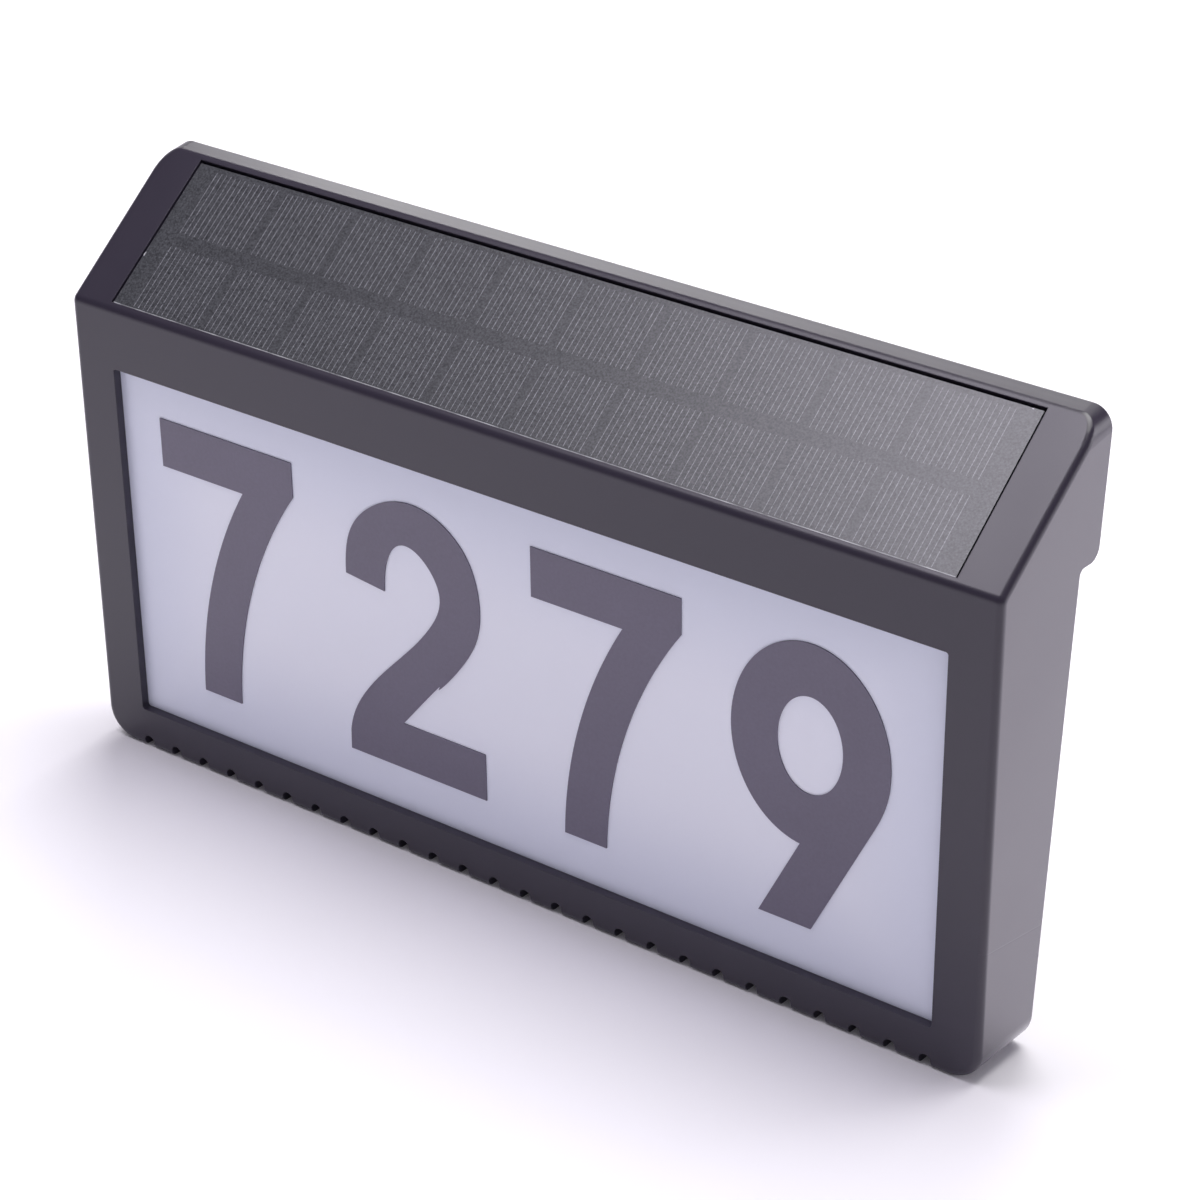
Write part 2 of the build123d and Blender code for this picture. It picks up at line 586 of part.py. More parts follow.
with BuildPart() as solar_laminate:
    with BuildSketch(RECESS_FLOOR.offset(TAPE_THICK + BACKING_THICK + CELL_THICK)):
        with Locations((0, PANEL_MID)):
            Rectangle(PANEL_WIDTH, PANEL_LENGTH)
    extrude(amount=LAMINATE_THICK)

# ---- Rear cover ----
KEYHOLES = [-KEYHOLE_SPACING / 2, KEYHOLE_SPACING / 2]
pocket_r = KEYHOLE_R + POCKET_MARGIN


def keyhole_run(radius):
    """Upright round-ended outline that holds both ends of each keyhole."""
    with Locations(*[(x, KEYHOLE_Z + KEYHOLE_RISE / 2) for x in KEYHOLES]):
        SlotCenterToCenter(KEYHOLE_RISE, 2 * radius, rotation=90)


with BuildPart() as rear_cover:
    add(drafted_form(rear_band(0, COVER_THICK), WALL + COVER_FIT))
    # Closed pockets behind the keyholes
    with BuildSketch(upright(HUMP_IN_Y)):
        keyhole_run(pocket_r + POCKET_WALL)
    extrude(amount=POCKET_DEPTH - COVER_THICK + POCKET_WALL)
    with BuildSketch(upright(HUMP_IN_Y)):
        keyhole_run(pocket_r)
    extrude(amount=POCKET_DEPTH - COVER_THICK, mode=Mode.SUBTRACT)
    with BuildSketch(upright(WALL_Y + CUT)):
        keyhole_run(KEYHOLE_SLOT_R)
        with Locations(*[(x, KEYHOLE_Z) for x in KEYHOLES]):
            Circle(KEYHOLE_R)
    extrude(amount=COVER_THICK + 2 * CUT, mode=Mode.SUBTRACT)
    # Standoffs for the control board and posts for the battery holder's ears
    with BuildSketch(upright(COVER_IN_Y)):
        with Locations(*BOARD_HOLES):
            Circle(STANDOFF_R)
    extrude(amount=STANDOFF)
    with BuildSketch(upright(HUMP_IN_Y)):
        with Locations(*EARS):
            Circle(STANDOFF_R)
    extrude(amount=EAR_POST)
    # Ring that guards the mode button
    with BuildSketch(upright(LOW_Y)):
        with Locations((BUTTON_X, BUTTON_Z)):
            Circle(GUARD_R)
            Circle(GUARD_R - GUARD_WALL, mode=Mode.SUBTRACT)
    extrude(amount=-GUARD_HEIGHT)
    with BuildSketch(upright(LOW_Y + CUT)):
        with Locations((BUTTON_X, BUTTON_Z)):
            Circle(BUTTON_R + BUTTON_FIT)
    extrude(amount=COVER_THICK + 2 * CUT, mode=Mode.SUBTRACT)
    # Countersunk holes for the cover screws, and pilot holes for the small screws
    with Locations(*[backward(x, y + COVER_THICK, z) for x, y, z in COVER_SCREWS]):
        head_r = SCREW_HEAD_R + HEAD_SINK
        CounterSinkHole(SCREW_R + CLEAR_FIT, head_r, depth=2 * COVER_THICK, counter_sink_angle=90)
    with Locations(*BOARD_SCREW_SEATS, *HOLDER_SCREW_SEATS):
        Cylinder(SMALL_SCREW_R + PILOT_FIT, 2 * SMALL_SCREW_LENGTH, mode=Mode.SUBTRACT)

with BuildPart() as cover_gasket:
    add(drafted_form(rear_band(COVER_THICK, ledge_top), WALL + COVER_FIT))
    hollow = rear_band(COVER_THICK - CUT, ledge_top + CUT)
    add(drafted_form(hollow, WALL + COVER_FIT + GASKET_WIDTH), mode=Mode.SUBTRACT)

with BuildPart() as cover_screws:
    head_y = COVER_THICK - HEAD_SINK
    with Locations(*[backward(x, y + head_y, z) for x, y, z in COVER_SCREWS]):
        Cone(SCREW_R, SCREW_HEAD_R, SCREW_HEAD_R - SCREW_R, align=(Align.CENTER, Align.CENTER, Align.MAX))
        Cylinder(SCREW_R, SCREW_LENGTH - HEAD_SINK, align=(Align.CENTER, Align.CENTER, Align.MAX))

# ---- Control board, switch and mode button ----
BOARD_FRONT = upright(BOARD_Y - BOARD_THICK)
plug_rise = (BOARD_HEIGHT - PLUG_HEIGHT) / 2 - PLUG_EDGE
plug_z = BOARD_Z + plug_rise
low_plug_z = BOARD_Z - plug_rise
PLUGS = [(LEAD_X, plug_z), (BATTERY_PLUG_X, plug_z), (LOWER_LEAD_X, low_plug_z), (UPPER_PLUG_X, low_plug_z)]

with BuildPart() as control_board:
    with BuildSketch(upright(BOARD_Y)):
        with Locations((BOARD_X, BOARD_Z)):
            Rectangle(BOARD_WIDTH, BOARD_HEIGHT)
        with Locations(*BOARD_HOLES):
            Circle(SMALL_SCREW_R + CLEAR_FIT, mode=Mode.SUBTRACT)
    extrude(amount=BOARD_THICK)

with BuildPart() as board_plugs:
    with BuildSketch(BOARD_FRONT):
        with Locations(*PLUGS):
            Rectangle(PLUG_WIDTH, PLUG_HEIGHT)
    extrude(amount=PLUG_DEPTH)

with BuildPart() as board_chips:
    with BuildSketch(BOARD_FRONT):
        with Locations((BOARD_X + CHIP_WIDTH, BOARD_Z), (BOARD_X + 3 * CHIP_WIDTH, BOARD_Z)):
            Rectangle(CHIP_WIDTH, CHIP_HEIGHT)
    extrude(amount=CHIP_THICK)
    with BuildSketch(BOARD_FRONT):
        with Locations((BOARD_X - CAN_R, BOARD_Z - 2 * CAN_R)):
            Circle(CAN_R)
    extrude(amount=CAN_HEIGHT)

with BuildPart() as board_screws:
    with Locations(*[seat.offset(BOARD_THICK) for seat in BOARD_SCREW_SEATS]):
        Cylinder(SMALL_HEAD_R, SMALL_HEAD, align=(Align.CENTER, Align.CENTER, Align.MIN))
        shank = BOARD_THICK + SMALL_SCREW_LENGTH - TIP_GAP
        Cylinder(SMALL_SCREW_R, shank, align=(Align.CENTER, Align.CENTER, Align.MAX))

with BuildPart() as switch_body:
    with BuildSketch(upright(BOARD_Y)):
        with Locations((BUTTON_X, BUTTON_Z)):
            Rectangle(SWITCH_SIDE, SWITCH_SIDE)
    extrude(amount=-SWITCH_HEIGHT)
    with BuildSketch(upright(BOARD_Y + SWITCH_HEIGHT)):
        with Locations((BUTTON_X, BUTTON_Z)):
            Circle(PLUNGER_R + PLUNGER_FIT)
    extrude(amount=PLUNGER_SEAT + SWITCH_TRAVEL + TIP_GAP, mode=Mode.SUBTRACT)

# The plunger reaches from inside the switch to the button's underside
button_foot = COVER_IN_Y - BUTTON_REST_GAP - BUTTON_FLANGE
with BuildPart() as switch_plunger:
    with Locations(backward(BUTTON_X, button_foot, BUTTON_Z)):
        reach = button_foot - (BOARD_Y + SWITCH_HEIGHT - PLUNGER_SEAT)
        Cylinder(PLUNGER_R, reach, align=(Align.CENTER, Align.CENTER, Align.MAX))

with BuildPart() as mode_button:
    with Locations(backward(BUTTON_X, button_foot, BUTTON_Z)):
        Cylinder(BUTTON_FLANGE_R, BUTTON_FLANGE, align=(Align.CENTER, Align.CENTER, Align.MIN))
        button_height = LOW_Y + BUTTON_PROUD - button_foot
        Cylinder(BUTTON_R, button_height, align=(Align.CENTER, Align.CENTER, Align.MIN))
    fillet(mode_button.edges().filter_by(GeomType.CIRCLE).sort_by(Axis.Y)[-1], radius=SHARP_R)

# ---- Battery ----
with BuildPart() as battery_holder:
    with BuildSketch(upright(HUMP_IN_Y)):
        with Locations((0, BATTERY_Z)):
            Rectangle(2 * holder_half, 2 * (CELL_18650_R + HOLDER_FIT + HOLDER_WALL))
    extrude(amount=HUMP_IN_Y - CELL_Y)
    with BuildSketch(upright(HUMP_IN_Y - HOLDER_WALL)):
        with Locations((0, BATTERY_Z)):
            Rectangle(2 * (holder_half - HOLDER_WALL), 2 * (CELL_18650_R + HOLDER_FIT))
    extrude(amount=DEPTH, mode=Mode.SUBTRACT)
    with BuildSketch(upright(HUMP_IN_Y - EAR_POST)):
        with Locations(*[(side * (ear_mid - HOLDER_WALL / 2), BATTERY_Z) for side in (-1, 1)]):
            Rectangle(EAR_LENGTH + HOLDER_WALL, 2.7 * STANDOFF_R)
        with Locations(*EARS):
            Circle(SMALL_SCREW_R + CLEAR_FIT, mode=Mode.SUBTRACT)
    extrude(amount=HOLDER_WALL)

with BuildPart() as battery_cell:
    with BuildSketch(Plane.YZ.offset(-CELL_18650_LENGTH / 2)):
        with Locations((CELL_Y, BATTERY_Z)):
            Circle(CELL_18650_R)
    extrude(amount=CELL_18650_LENGTH)
    fillet(battery_cell.edges().filter_by(GeomType.CIRCLE), radius=SHARP_R)

with BuildPart() as battery_contacts:
    for side in (-1, 1):
        inner_x = side * (holder_half - HOLDER_WALL)
        inner_end = Plane(origin=(inner_x, CELL_Y, BATTERY_Z), x_dir=(0, 1, 0), z_dir=(-side, 0, 0))
        with BuildSketch(inner_end):
            RectangleRounded(CELL_18650_R * 1.4, CELL_18650_R, 1)
        extrude(amount=CONTACT_THICK)
        with BuildSketch(inner_end.offset(CONTACT_THICK)):
            Circle(CELL_18650_R / 4)
        extrude(amount=CONTACT_SPACE)

with BuildPart() as holder_screws:
    with Locations(*[seat.offset(HOLDER_WALL) for seat in HOLDER_SCREW_SEATS]):
        Cylinder(SMALL_HEAD_R, SMALL_HEAD, align=(Align.CENTER, Align.CENTER, Align.MIN))
        shank = HOLDER_WALL + SMALL_SCREW_LENGTH - TIP_GAP
        Cylinder(SMALL_SCREW_R, shank, align=(Align.CENTER, Align.CENTER, Align.MAX))

# ---- Leads, a red and a black one of each pair ----
def bend_radii(points):
    """Arc for each corner of a lead, as large as its two runs allow."""
    radii = []
    for before, here, after in zip(points, points[1:], points[2:]):
        run_in, run_out = Vector(*here) - Vector(*before), Vector(*after) - Vector(*here)
        half_turn = radians(run_in.get_angle(run_out)) / 2
        radii.append(0.45 * min(run_in.length, run_out.length) / tan(half_turn))
    return radii


plug_y = BOARD_Y - BOARD_THICK - PLUG_DEPTH / 2
plug_top = plug_z + PLUG_HEIGHT / 2
low_plug_foot = low_plug_z - PLUG_HEIGHT / 2
contact_x = holder_half - HOLDER_WALL
tap_y = CELL_Y - CELL_18650_R / 2


def panel_route(x):
    """From the solar backing down through its hole to the board."""
    out = SLOPED.from_local_coords((x, PANEL_MID, TAPE_THICK - RECESS_DEPTH))
    clear = SLOPED.from_local_coords((x, PANEL_MID, -RECESS_DEPTH - LEAD_BEND))
    return [tuple(out), tuple(clear), (x, plug_y, plug_top + 2 * LEAD_BEND), (x, plug_y, plug_top)]


def strip_start(x, height):
    """From the back of a light strip out through the tray's floor."""
    out = TRAY_FLOOR.from_local_coords((x, height, 0))
    clear = TRAY_FLOOR.from_local_coords((x, height, -TRAY_WALL - LEAD_CLEAR))
    return [tuple(out), tuple(clear)]


def lower_route(x):
    """From the lower strip up behind the tray to the board's foot."""
    rise = low_plug_foot - LEAD_BEND
    bends = [(x, COVER_IN_Y - LEAD_CLEAR, rise / 2), (x, (COVER_IN_Y + plug_y) / 2, rise * 0.8)]
    return strip_start(x, STRIP_HEIGHTS["lower"]) + bends + [(x, plug_y, rise), (x, plug_y, low_plug_foot)]


def upper_route(pair):
    """From the upper strip down beside the board and up to its foot."""
    inner = low_plug_foot - LEAD_BEND + pair
    bends = [(UPPER_LEAD_X - pair, plug_y, low_plug_foot), (BOARD_X + BOARD_WIDTH / 2 - pair, plug_y, inner)]
    bends.append((UPPER_PLUG_X + LEAD_BEND, plug_y, inner - LEAD_BEND / 2))
    bends.append((UPPER_PLUG_X + pair, plug_y, inner + pair))
    start = strip_start(UPPER_LEAD_X - pair, STRIP_HEIGHTS["upper"])
    return start + bends + [(UPPER_PLUG_X + pair, plug_y, low_plug_foot)]


def battery_route(side):
    """From a battery contact along below the hump to the board's head."""
    x = BATTERY_PLUG_X + side * LEAD_GAP / 2
    turned = contact_x + EAR_LENGTH * 0.7
    start = [(side * contact_x, tap_y, BATTERY_Z), (side * turned, tap_y, BATTERY_Z)]
    if side < 0:
        bends = [(-contact_x, plug_y + LEAD_CLEAR, HUMP_Z), (0, plug_y, HUMP_Z - LEAD_R)]
        bends.append((contact_x, plug_y, HUMP_Z - LEAD_CLEAR))
    else:
        bends = [(contact_x * 1.4, plug_y + LEAD_CLEAR, HUMP_Z)]
    return start + bends + [(x, plug_y, plug_top + LEAD_BEND), (x, plug_y, plug_top)]


leads = {}
for name, side in (("leads_red", 1), ("leads_black", -1)):
    pair = side * LEAD_GAP / 2
    strip_routes = [lower_route(LOWER_LEAD_X + pair), upper_route(pair)]
    routes = [panel_route(LEAD_X + pair), *strip_routes, battery_route(side)]
    with BuildPart() as lead:
        for route in routes:
            with BuildLine() as path:
                FilletPolyline(*route, radius=bend_radii(route))
            with BuildSketch(Plane(origin=path.line @ 0, z_dir=path.line % 0)):
                Circle(LEAD_R)
            sweep(path=path.line)
    leads[name] = lead

pieces = {
    "front_housing": front_housing,
    "rear_cover": rear_cover,
    "cover_gasket": cover_gasket,
    "cover_screws": cover_screws,
    "diffuser_panel": diffuser_panel,
    "reflector_tray": reflector_tray,
    "tray_screws": tray_screws,
    "panel_tape": panel_tape,
    "solar_backing": solar_backing,
    "solar_cells": solar_cells,
    "solar_laminate": solar_laminate,
    "control_board": control_board,
    "board_plugs": board_plugs,
    "board_chips": board_chips,
    "board_screws": board_screws,
    "switch_body": switch_body,
    "switch_plunger": switch_plunger,
    "mode_button": mode_button,
    "battery_holder": battery_holder,
    "battery_cell": battery_cell,
    "battery_contacts": battery_contacts,
    "holder_screws": holder_screws,
    **numerals,
    **strips,
    **leads,
}
for name, piece in pieces.items():
    piece.part.label = name
    export_step(piece.part, f"parts/{name}.step")
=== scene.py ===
# %% [markdown]
# # A solar house number sign
# The sign has a dark moulded frame that leans forward round a white light panel with four dark
# digits, and a solar panel on its sloping top. The solid pieces come ready made at their real
# size, in metres, with X across the sign, Y towards the wall and Z up. Here each of them gets its
# finish, and the small things that solids leave out, such as the printed lines on the solar cells.
# A model can be dressed by replacing pieces or by giving them materials. These pieces have the
# right shape already, so they keep it, and the work here is in the materials and the light.

# %% Load the solid pieces
import math

import bpy
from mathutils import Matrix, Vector


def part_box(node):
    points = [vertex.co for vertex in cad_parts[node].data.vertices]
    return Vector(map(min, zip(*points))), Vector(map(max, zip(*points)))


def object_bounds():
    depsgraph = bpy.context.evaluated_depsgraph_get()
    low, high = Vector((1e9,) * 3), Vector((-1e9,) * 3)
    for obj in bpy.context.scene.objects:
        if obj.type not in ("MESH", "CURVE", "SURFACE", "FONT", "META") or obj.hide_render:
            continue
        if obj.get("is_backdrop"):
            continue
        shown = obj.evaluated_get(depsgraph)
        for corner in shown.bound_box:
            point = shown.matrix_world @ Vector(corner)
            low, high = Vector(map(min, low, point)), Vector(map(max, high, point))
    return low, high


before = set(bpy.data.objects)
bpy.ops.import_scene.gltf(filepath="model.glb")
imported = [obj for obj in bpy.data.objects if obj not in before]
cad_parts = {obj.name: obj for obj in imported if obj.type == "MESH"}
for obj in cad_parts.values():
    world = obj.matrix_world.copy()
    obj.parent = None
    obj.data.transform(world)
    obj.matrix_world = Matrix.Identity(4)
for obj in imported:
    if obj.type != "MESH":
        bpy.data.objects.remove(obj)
low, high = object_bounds()
cad_box = [list(low), list(high)]
MM = 0.001
box_mm = [[round(value / MM, 1) for value in corner] for corner in cad_box]
print("pieces:", len(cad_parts), "box in mm:", box_mm)


# %% [markdown]
# ## Colours
# Paint charts and screens give colours as sRGB hex values, while a renderer adds up light, which
# needs linear values. One function turns the first into the second, so every colour below can be
# read and changed as a hex value.

# %% Hex colours to linear light
def linear(hex_colour):
    """Linear RGBA from an sRGB hex string such as "#8a8d92"."""
    channels = [int(hex_colour[i:i + 2], 16) / 255 for i in (1, 3, 5)]
    return [c / 12.92 if c <= 0.04045 else ((c + 0.055) / 1.055) ** 2.4 for c in channels] + [1.0]


# %% [markdown]
# ## Camera
# The photograph looks down on the sign from its front right. Its camera was found by fitting the
# sign's straight edges, so its place and angles are measured values. The long lens keeps the
# sign's sides nearly parallel. Nothing is out of focus, so depth of field stays off.

# %% Camera at the photograph's view
camera_data = bpy.data.cameras.new("photo_camera")
camera_data.sensor_width = 36.0
camera_data.lens = 105.095
camera_data.clip_start = 0.05
camera_data.clip_end = 50.0
camera = bpy.data.objects.new("photo_camera", camera_data)
camera.location = (0.52804, -0.72810, 0.52807)
camera.rotation_euler = [math.radians(angle) for angle in (64.1496, -2.2262, 36.0081)]
bpy.context.scene.collection.objects.link(camera)
bpy.context.scene.camera = camera
bpy.context.scene.view_settings.view_transform = "Standard"
print("camera", round(camera.location.length, 3), "m from the sign's foot, lens", camera_data.lens, "mm")


# %% [markdown]
# ## Node helpers
# Every finish below is a small network of shader nodes. One helper adds a node, sets its
# properties and inputs, and links what is given as another node's output. It returns the new
# node's outputs, so a network reads from top to bottom as a list of what each node takes.
# All the sign's finishes end in the same all-purpose shader, which another helper adds.

# %% Add a node with its settings and links
def add_node(tree, kind, inputs=None, **settings):
    """Adds a node and returns its outputs; an input is a value or another node's output."""
    node = tree.nodes.new(kind)
    for name, value in settings.items():
        setattr(node, name, value)
    for name, value in (inputs or {}).items():
        if isinstance(value, bpy.types.NodeSocket):
            tree.links.new(value, node.inputs[name])
        else:
            node.inputs[name].default_value = value
    return node.outputs


def new_material(name):
    """An empty material and its node tree."""
    material = bpy.data.materials.new(name)
    material.use_nodes = True
    material.node_tree.nodes.clear()
    return material, material.node_tree


def finish_material(tree, surface):
    """Ends a material with the main shader, which takes the given inputs."""
    shader = add_node(tree, "ShaderNodeBsdfPrincipled", surface)[0]
    add_node(tree, "ShaderNodeOutputMaterial", {"Surface": shader})


# %% [markdown]
# Patterns need a scale that can be checked with a ruler. Object coordinates are metres along the
# body's own axes, so for the leaning face and the slope they are turned until they run across the
# surface, up it and out of it, and they are turned into millimetres on the way. Each of these two
# is given by a point on its lower edge and its tilt.

# %% Coordinates in millimetres on each surface
FACE_LEAN, SLOPE_TILT = 4.75, 40.3
SURFACES = {
    "body": ((0, 0, 0), 0.0),
    "face": ((0, -11.90 * MM, 0), math.radians(90 + FACE_LEAN)),
    "slope": ((0, -24.42 * MM, 150.63 * MM), math.radians(SLOPE_TILT)),
}


def millimetres(tree, surface="body"):
    """Coordinates in millimetres across a surface, up it and out of it."""
    origin, tilt = SURFACES[surface]
    place = add_node(tree, "ShaderNodeTexCoord")["Object"]
    inputs = {"Vector": place, "Location": origin, "Rotation": (tilt, 0, 0), "Scale": (MM, MM, MM)}
    return add_node(tree, "ShaderNodeMapping", inputs, vector_type="TEXTURE")[0]


# %% [markdown]
# ## Floor and light
# The sign stands on a white sweep in a studio with large soft lights. The sweep could be lit until
# all of it is white, but that would bleach the sign as well. Instead its colour is nearly white,
# and it gives a little extra light to the camera's rays only, more of it beyond the reach of the
# lamps, a metre or two away. Rays that mirror off the sign meet the sweep behind it at full white,
# as its right side does in the photograph, while the front of the floor keeps the sign's shadow
# and shows it in the face's lower edge too.

# %% White floor
FLOOR_SIZE = 30.0
FLOOR_LIFT = 0.02
MIRROR_STARTS, MIRROR_FULL = -0.01, 0.03
FAR_STARTS, FAR_FULL = 0.7, 2.0
floor_mesh = bpy.data.meshes.new("floor")
half = FLOOR_SIZE / 2
corners = [(-half, -half, 0), (half, -half, 0), (half, half, 0), (-half, half, 0)]
floor_mesh.from_pydata(corners, [], [(0, 1, 2, 3)])
floor = bpy.data.objects.new("floor", floor_mesh)
bpy.context.scene.collection.objects.link(floor)

material, tree = new_material("white_sweep")
rays = add_node(tree, "ShaderNodeLightPath")
place = add_node(tree, "ShaderNodeTexCoord")["Object"]
depth = add_node(tree, "ShaderNodeSeparateXYZ", {0: place})["Y"]
behind = {"Value": depth, "From Min": MIRROR_STARTS, "From Max": MIRROR_FULL}
behind = add_node(tree, "ShaderNodeMapRange", behind, interpolation_type="SMOOTHSTEP")[0]
mirrored = {0: rays["Is Glossy Ray"], 1: rays["Is Transmission Ray"]}
mirrored = add_node(tree, "ShaderNodeMath", mirrored, operation="MAXIMUM")[0]
mirrored = add_node(tree, "ShaderNodeMath", {0: mirrored, 1: behind}, operation="MULTIPLY")[0]
away = add_node(tree, "ShaderNodeVectorMath", {0: place}, operation="LENGTH")["Value"]
away = {"Value": away, "From Min": FAR_STARTS, "From Max": FAR_FULL, "To Min": FLOOR_LIFT, "To Max": 1.0}
away = add_node(tree, "ShaderNodeMapRange", away, interpolation_type="SMOOTHSTEP")[0]
lift = {0: rays["Is Camera Ray"], 1: away, 2: mirrored}
lift = add_node(tree, "ShaderNodeMath", lift, operation="MULTIPLY_ADD")[0]
paper = add_node(tree, "ShaderNodeBsdfDiffuse", {"Color": linear("#f5f3f8")})[0]
glow = add_node(tree, "ShaderNodeEmission", {"Color": linear("#f8f1ff"), "Strength": lift})[0]
both = add_node(tree, "ShaderNodeAddShader", {0: paper, 1: glow})[0]
add_node(tree, "ShaderNodeOutputMaterial", {"Surface": both})
floor_mesh.materials.append(material)
floor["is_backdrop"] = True
print("floor", FLOOR_SIZE, "m wide")


# %% [markdown]
# The photograph is lit from above and behind: the shadow at the foot is dark but only a few
# centimetres long, the brightest surfaces are the top ledge and the right side, and the slope grows
# brighter to the right, where it mirrors a soft box overhead. So one box hangs high over the sign,
# one hangs where the slope's right end mirrors it, and two stand behind. Two of them are a little
# lilac, as the photograph's greys are.

# %% Soft boxes
LILAC = "#f9f4ff"
NEUTRAL = "#fffefd"
SIGN_MIDDLE = (0, 0, 0.1)
# name: (place in m, width and height in m, watts, colour)
SOFT_BOXES = {
    "over_sign": ((0.10, 0.40, 1.70), (1.0, 1.0), 22.0, NEUTRAL),
    "over_slope": ((-0.42, -0.37, 1.60), (0.6, 0.6), 8.0, LILAC),
    "behind_left": ((-0.84, 1.45, 0.95), (1.2, 0.6), 15.0, NEUTRAL),
    "behind_right": ((1.40, 1.40, 0.60), (1.6, 0.8), 10.0, LILAC),
}
for name, (place, (width, height), watts, colour) in SOFT_BOXES.items():
    data = bpy.data.lights.new(name, "AREA")
    data.shape = "RECTANGLE"
    data.size = width
    data.size_y = height
    data.energy = watts
    data.color = linear(colour)[:3]
    lamp = bpy.data.objects.new(name, data)
    lamp.location = place
    aim = Vector(SIGN_MIDDLE) - Vector(place)
    lamp.rotation_euler = aim.to_track_quat("-Z", "Y").to_euler()
    bpy.context.scene.collection.objects.link(lamp)
    print(name, watts, "W at", round(aim.length, 2), "m")

# %% [markdown]
# The room beyond the sweep is white near the horizon, where the sweep curves up, and dark overhead.
# A camera sees that white on all sides. The sign's glossy plastic mirrors it only from behind: in
# the photograph the rounded edges that face the front mirror a dark room. The room lights the sign
# only a little, so the soft boxes decide where its surfaces are bright.

# %% The room
WORLD_FILL = 0.30
DARK_ROOM = 0.05
WHITE_UP_TO, DARK_FROM = 0.2, 0.5
FRONT_ENDS, BACK_STARTS = -0.1, 0.4
world = bpy.data.worlds.new("studio")
world.use_nodes = True
bpy.context.scene.world = world
tree = world.node_tree
tree.nodes.clear()
direction = add_node(tree, "ShaderNodeTexCoord")["Generated"]
heading = add_node(tree, "ShaderNodeSeparateXYZ", {0: direction})
rays = add_node(tree, "ShaderNodeLightPath")
sweep = {"Value": heading["Z"], "From Min": WHITE_UP_TO, "From Max": DARK_FROM}
sweep |= {"To Min": 1.0, "To Max": DARK_ROOM}
sweep = add_node(tree, "ShaderNodeMapRange", sweep, interpolation_type="SMOOTHSTEP")[0]
behind = {"Value": heading["Y"], "From Min": FRONT_ENDS, "From Max": BACK_STARTS}
behind = add_node(tree, "ShaderNodeMapRange", behind, interpolation_type="SMOOTHSTEP")[0]
straight = {0: rays["Is Camera Ray"], 1: rays["Is Transmission Ray"]}
straight = add_node(tree, "ShaderNodeMath", straight, operation="MAXIMUM")[0]
open_side = add_node(tree, "ShaderNodeMath", {0: behind, 1: straight}, operation="MAXIMUM")[0]
shown = {"Value": open_side, "To Min": DARK_ROOM, "To Max": sweep}
shown = add_node(tree, "ShaderNodeMapRange", shown)[0]
seen = {0: straight, 1: rays["Is Glossy Ray"]}
seen = add_node(tree, "ShaderNodeMath", seen, operation="MAXIMUM")[0]
fill = {"Color": linear("#f2f0f8"), "Strength": WORLD_FILL}
fill = add_node(tree, "ShaderNodeBackground", fill)[0]
white = {"Color": linear("#ffffff"), "Strength": shown}
white = add_node(tree, "ShaderNodeBackground", white)[0]
choice = add_node(tree, "ShaderNodeMixShader", {0: seen, 1: fill, 2: white})[0]
add_node(tree, "ShaderNodeOutputWorld", {"Surface": choice})
print("room light", WORLD_FILL)


# %% [markdown]
# ## Moulded plastic
# The frame and the back cover are injection moulded ABS with a fine spark-eroded grain, which
# spreads highlights into a soft sheen. The grain is a fraction of a millimetre across and a
# hundredth deep. A bump from fine noise gives it, and a slower noise varies the roughness and the
# shade a little, as handling does. A mould can't be cut to a perfect edge either, so edges are
# rounded by a few tenths of a millimetre. The bevel node turns the normals there, and the edge
# catches a thin line of light. The same finish with other values serves every moulded piece.
#
# The frame's roughness is kept above about 0.27. The renderer's noise filter treats smoother gloss
# in another way, and a surface that crosses that value shows faint lines, like a map's contours.

# %% A grained plastic
CLOUD_SIZE = 45.0
ROUGHNESS_SPREAD = 0.06
SHADE_SPREAD = 0.20


def moulded_plastic(name, colour, roughness, grain=0.3, depth=0.008, ior=1.53, relief=None, edge=0.0):
    """Matte moulded plastic; relief changes the grain's height in mm, edge is a radius in mm."""
    material, tree = new_material(name)
    place = millimetres(tree)
    fine = {"Vector": place, "Scale": 1 / grain, "Detail": 2.0}
    fine = add_node(tree, "ShaderNodeTexNoise", fine)["Fac"]
    height = add_node(tree, "ShaderNodeMath", {0: fine, 1: depth}, operation="MULTIPLY")[0]
    if relief:
        height = relief(tree, place, height)
    bump = {"Height": height, "Distance": MM}
    if edge:
        bump["Normal"] = add_node(tree, "ShaderNodeBevel", {"Radius": edge * MM}, samples=4)[0]
    bump = add_node(tree, "ShaderNodeBump", bump)[0]
    slow = {"Vector": place, "Scale": 1 / CLOUD_SIZE, "Detail": 3.0}
    slow = add_node(tree, "ShaderNodeTexNoise", slow)["Fac"]
    rough = {"To Min": roughness - ROUGHNESS_SPREAD, "To Max": roughness + ROUGHNESS_SPREAD}
    rough = add_node(tree, "ShaderNodeMapRange", rough | {"Value": slow})[0]
    cloudy = add_node(tree, "ShaderNodeMath", {0: slow, 1: fine}, operation="ADD")[0]
    cloudy = add_node(tree, "ShaderNodeMapRange", {"Value": cloudy, "From Max": 2.0})[0]
    base = linear(colour)[:3]
    darker = [(1 - SHADE_SPREAD) * c for c in base] + [1]
    lighter = [(1 + SHADE_SPREAD) * c for c in base] + [1]
    shade = {"Fac": cloudy, "Color1": darker, "Color2": lighter}
    shade = add_node(tree, "ShaderNodeMixRGB", shade)[0]
    finish_material(tree, {"Base Color": shade, "Roughness": rough, "IOR": ior, "Normal": bump})
    return material


dressed = set()


def dress(material, *names):
    """Gives a material to whole pieces."""
    for name in names:
        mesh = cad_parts[name].data
        mesh.materials.clear()
        mesh.materials.append(material)
        dressed.add(name)
    print(material.name, "on", ", ".join(names))


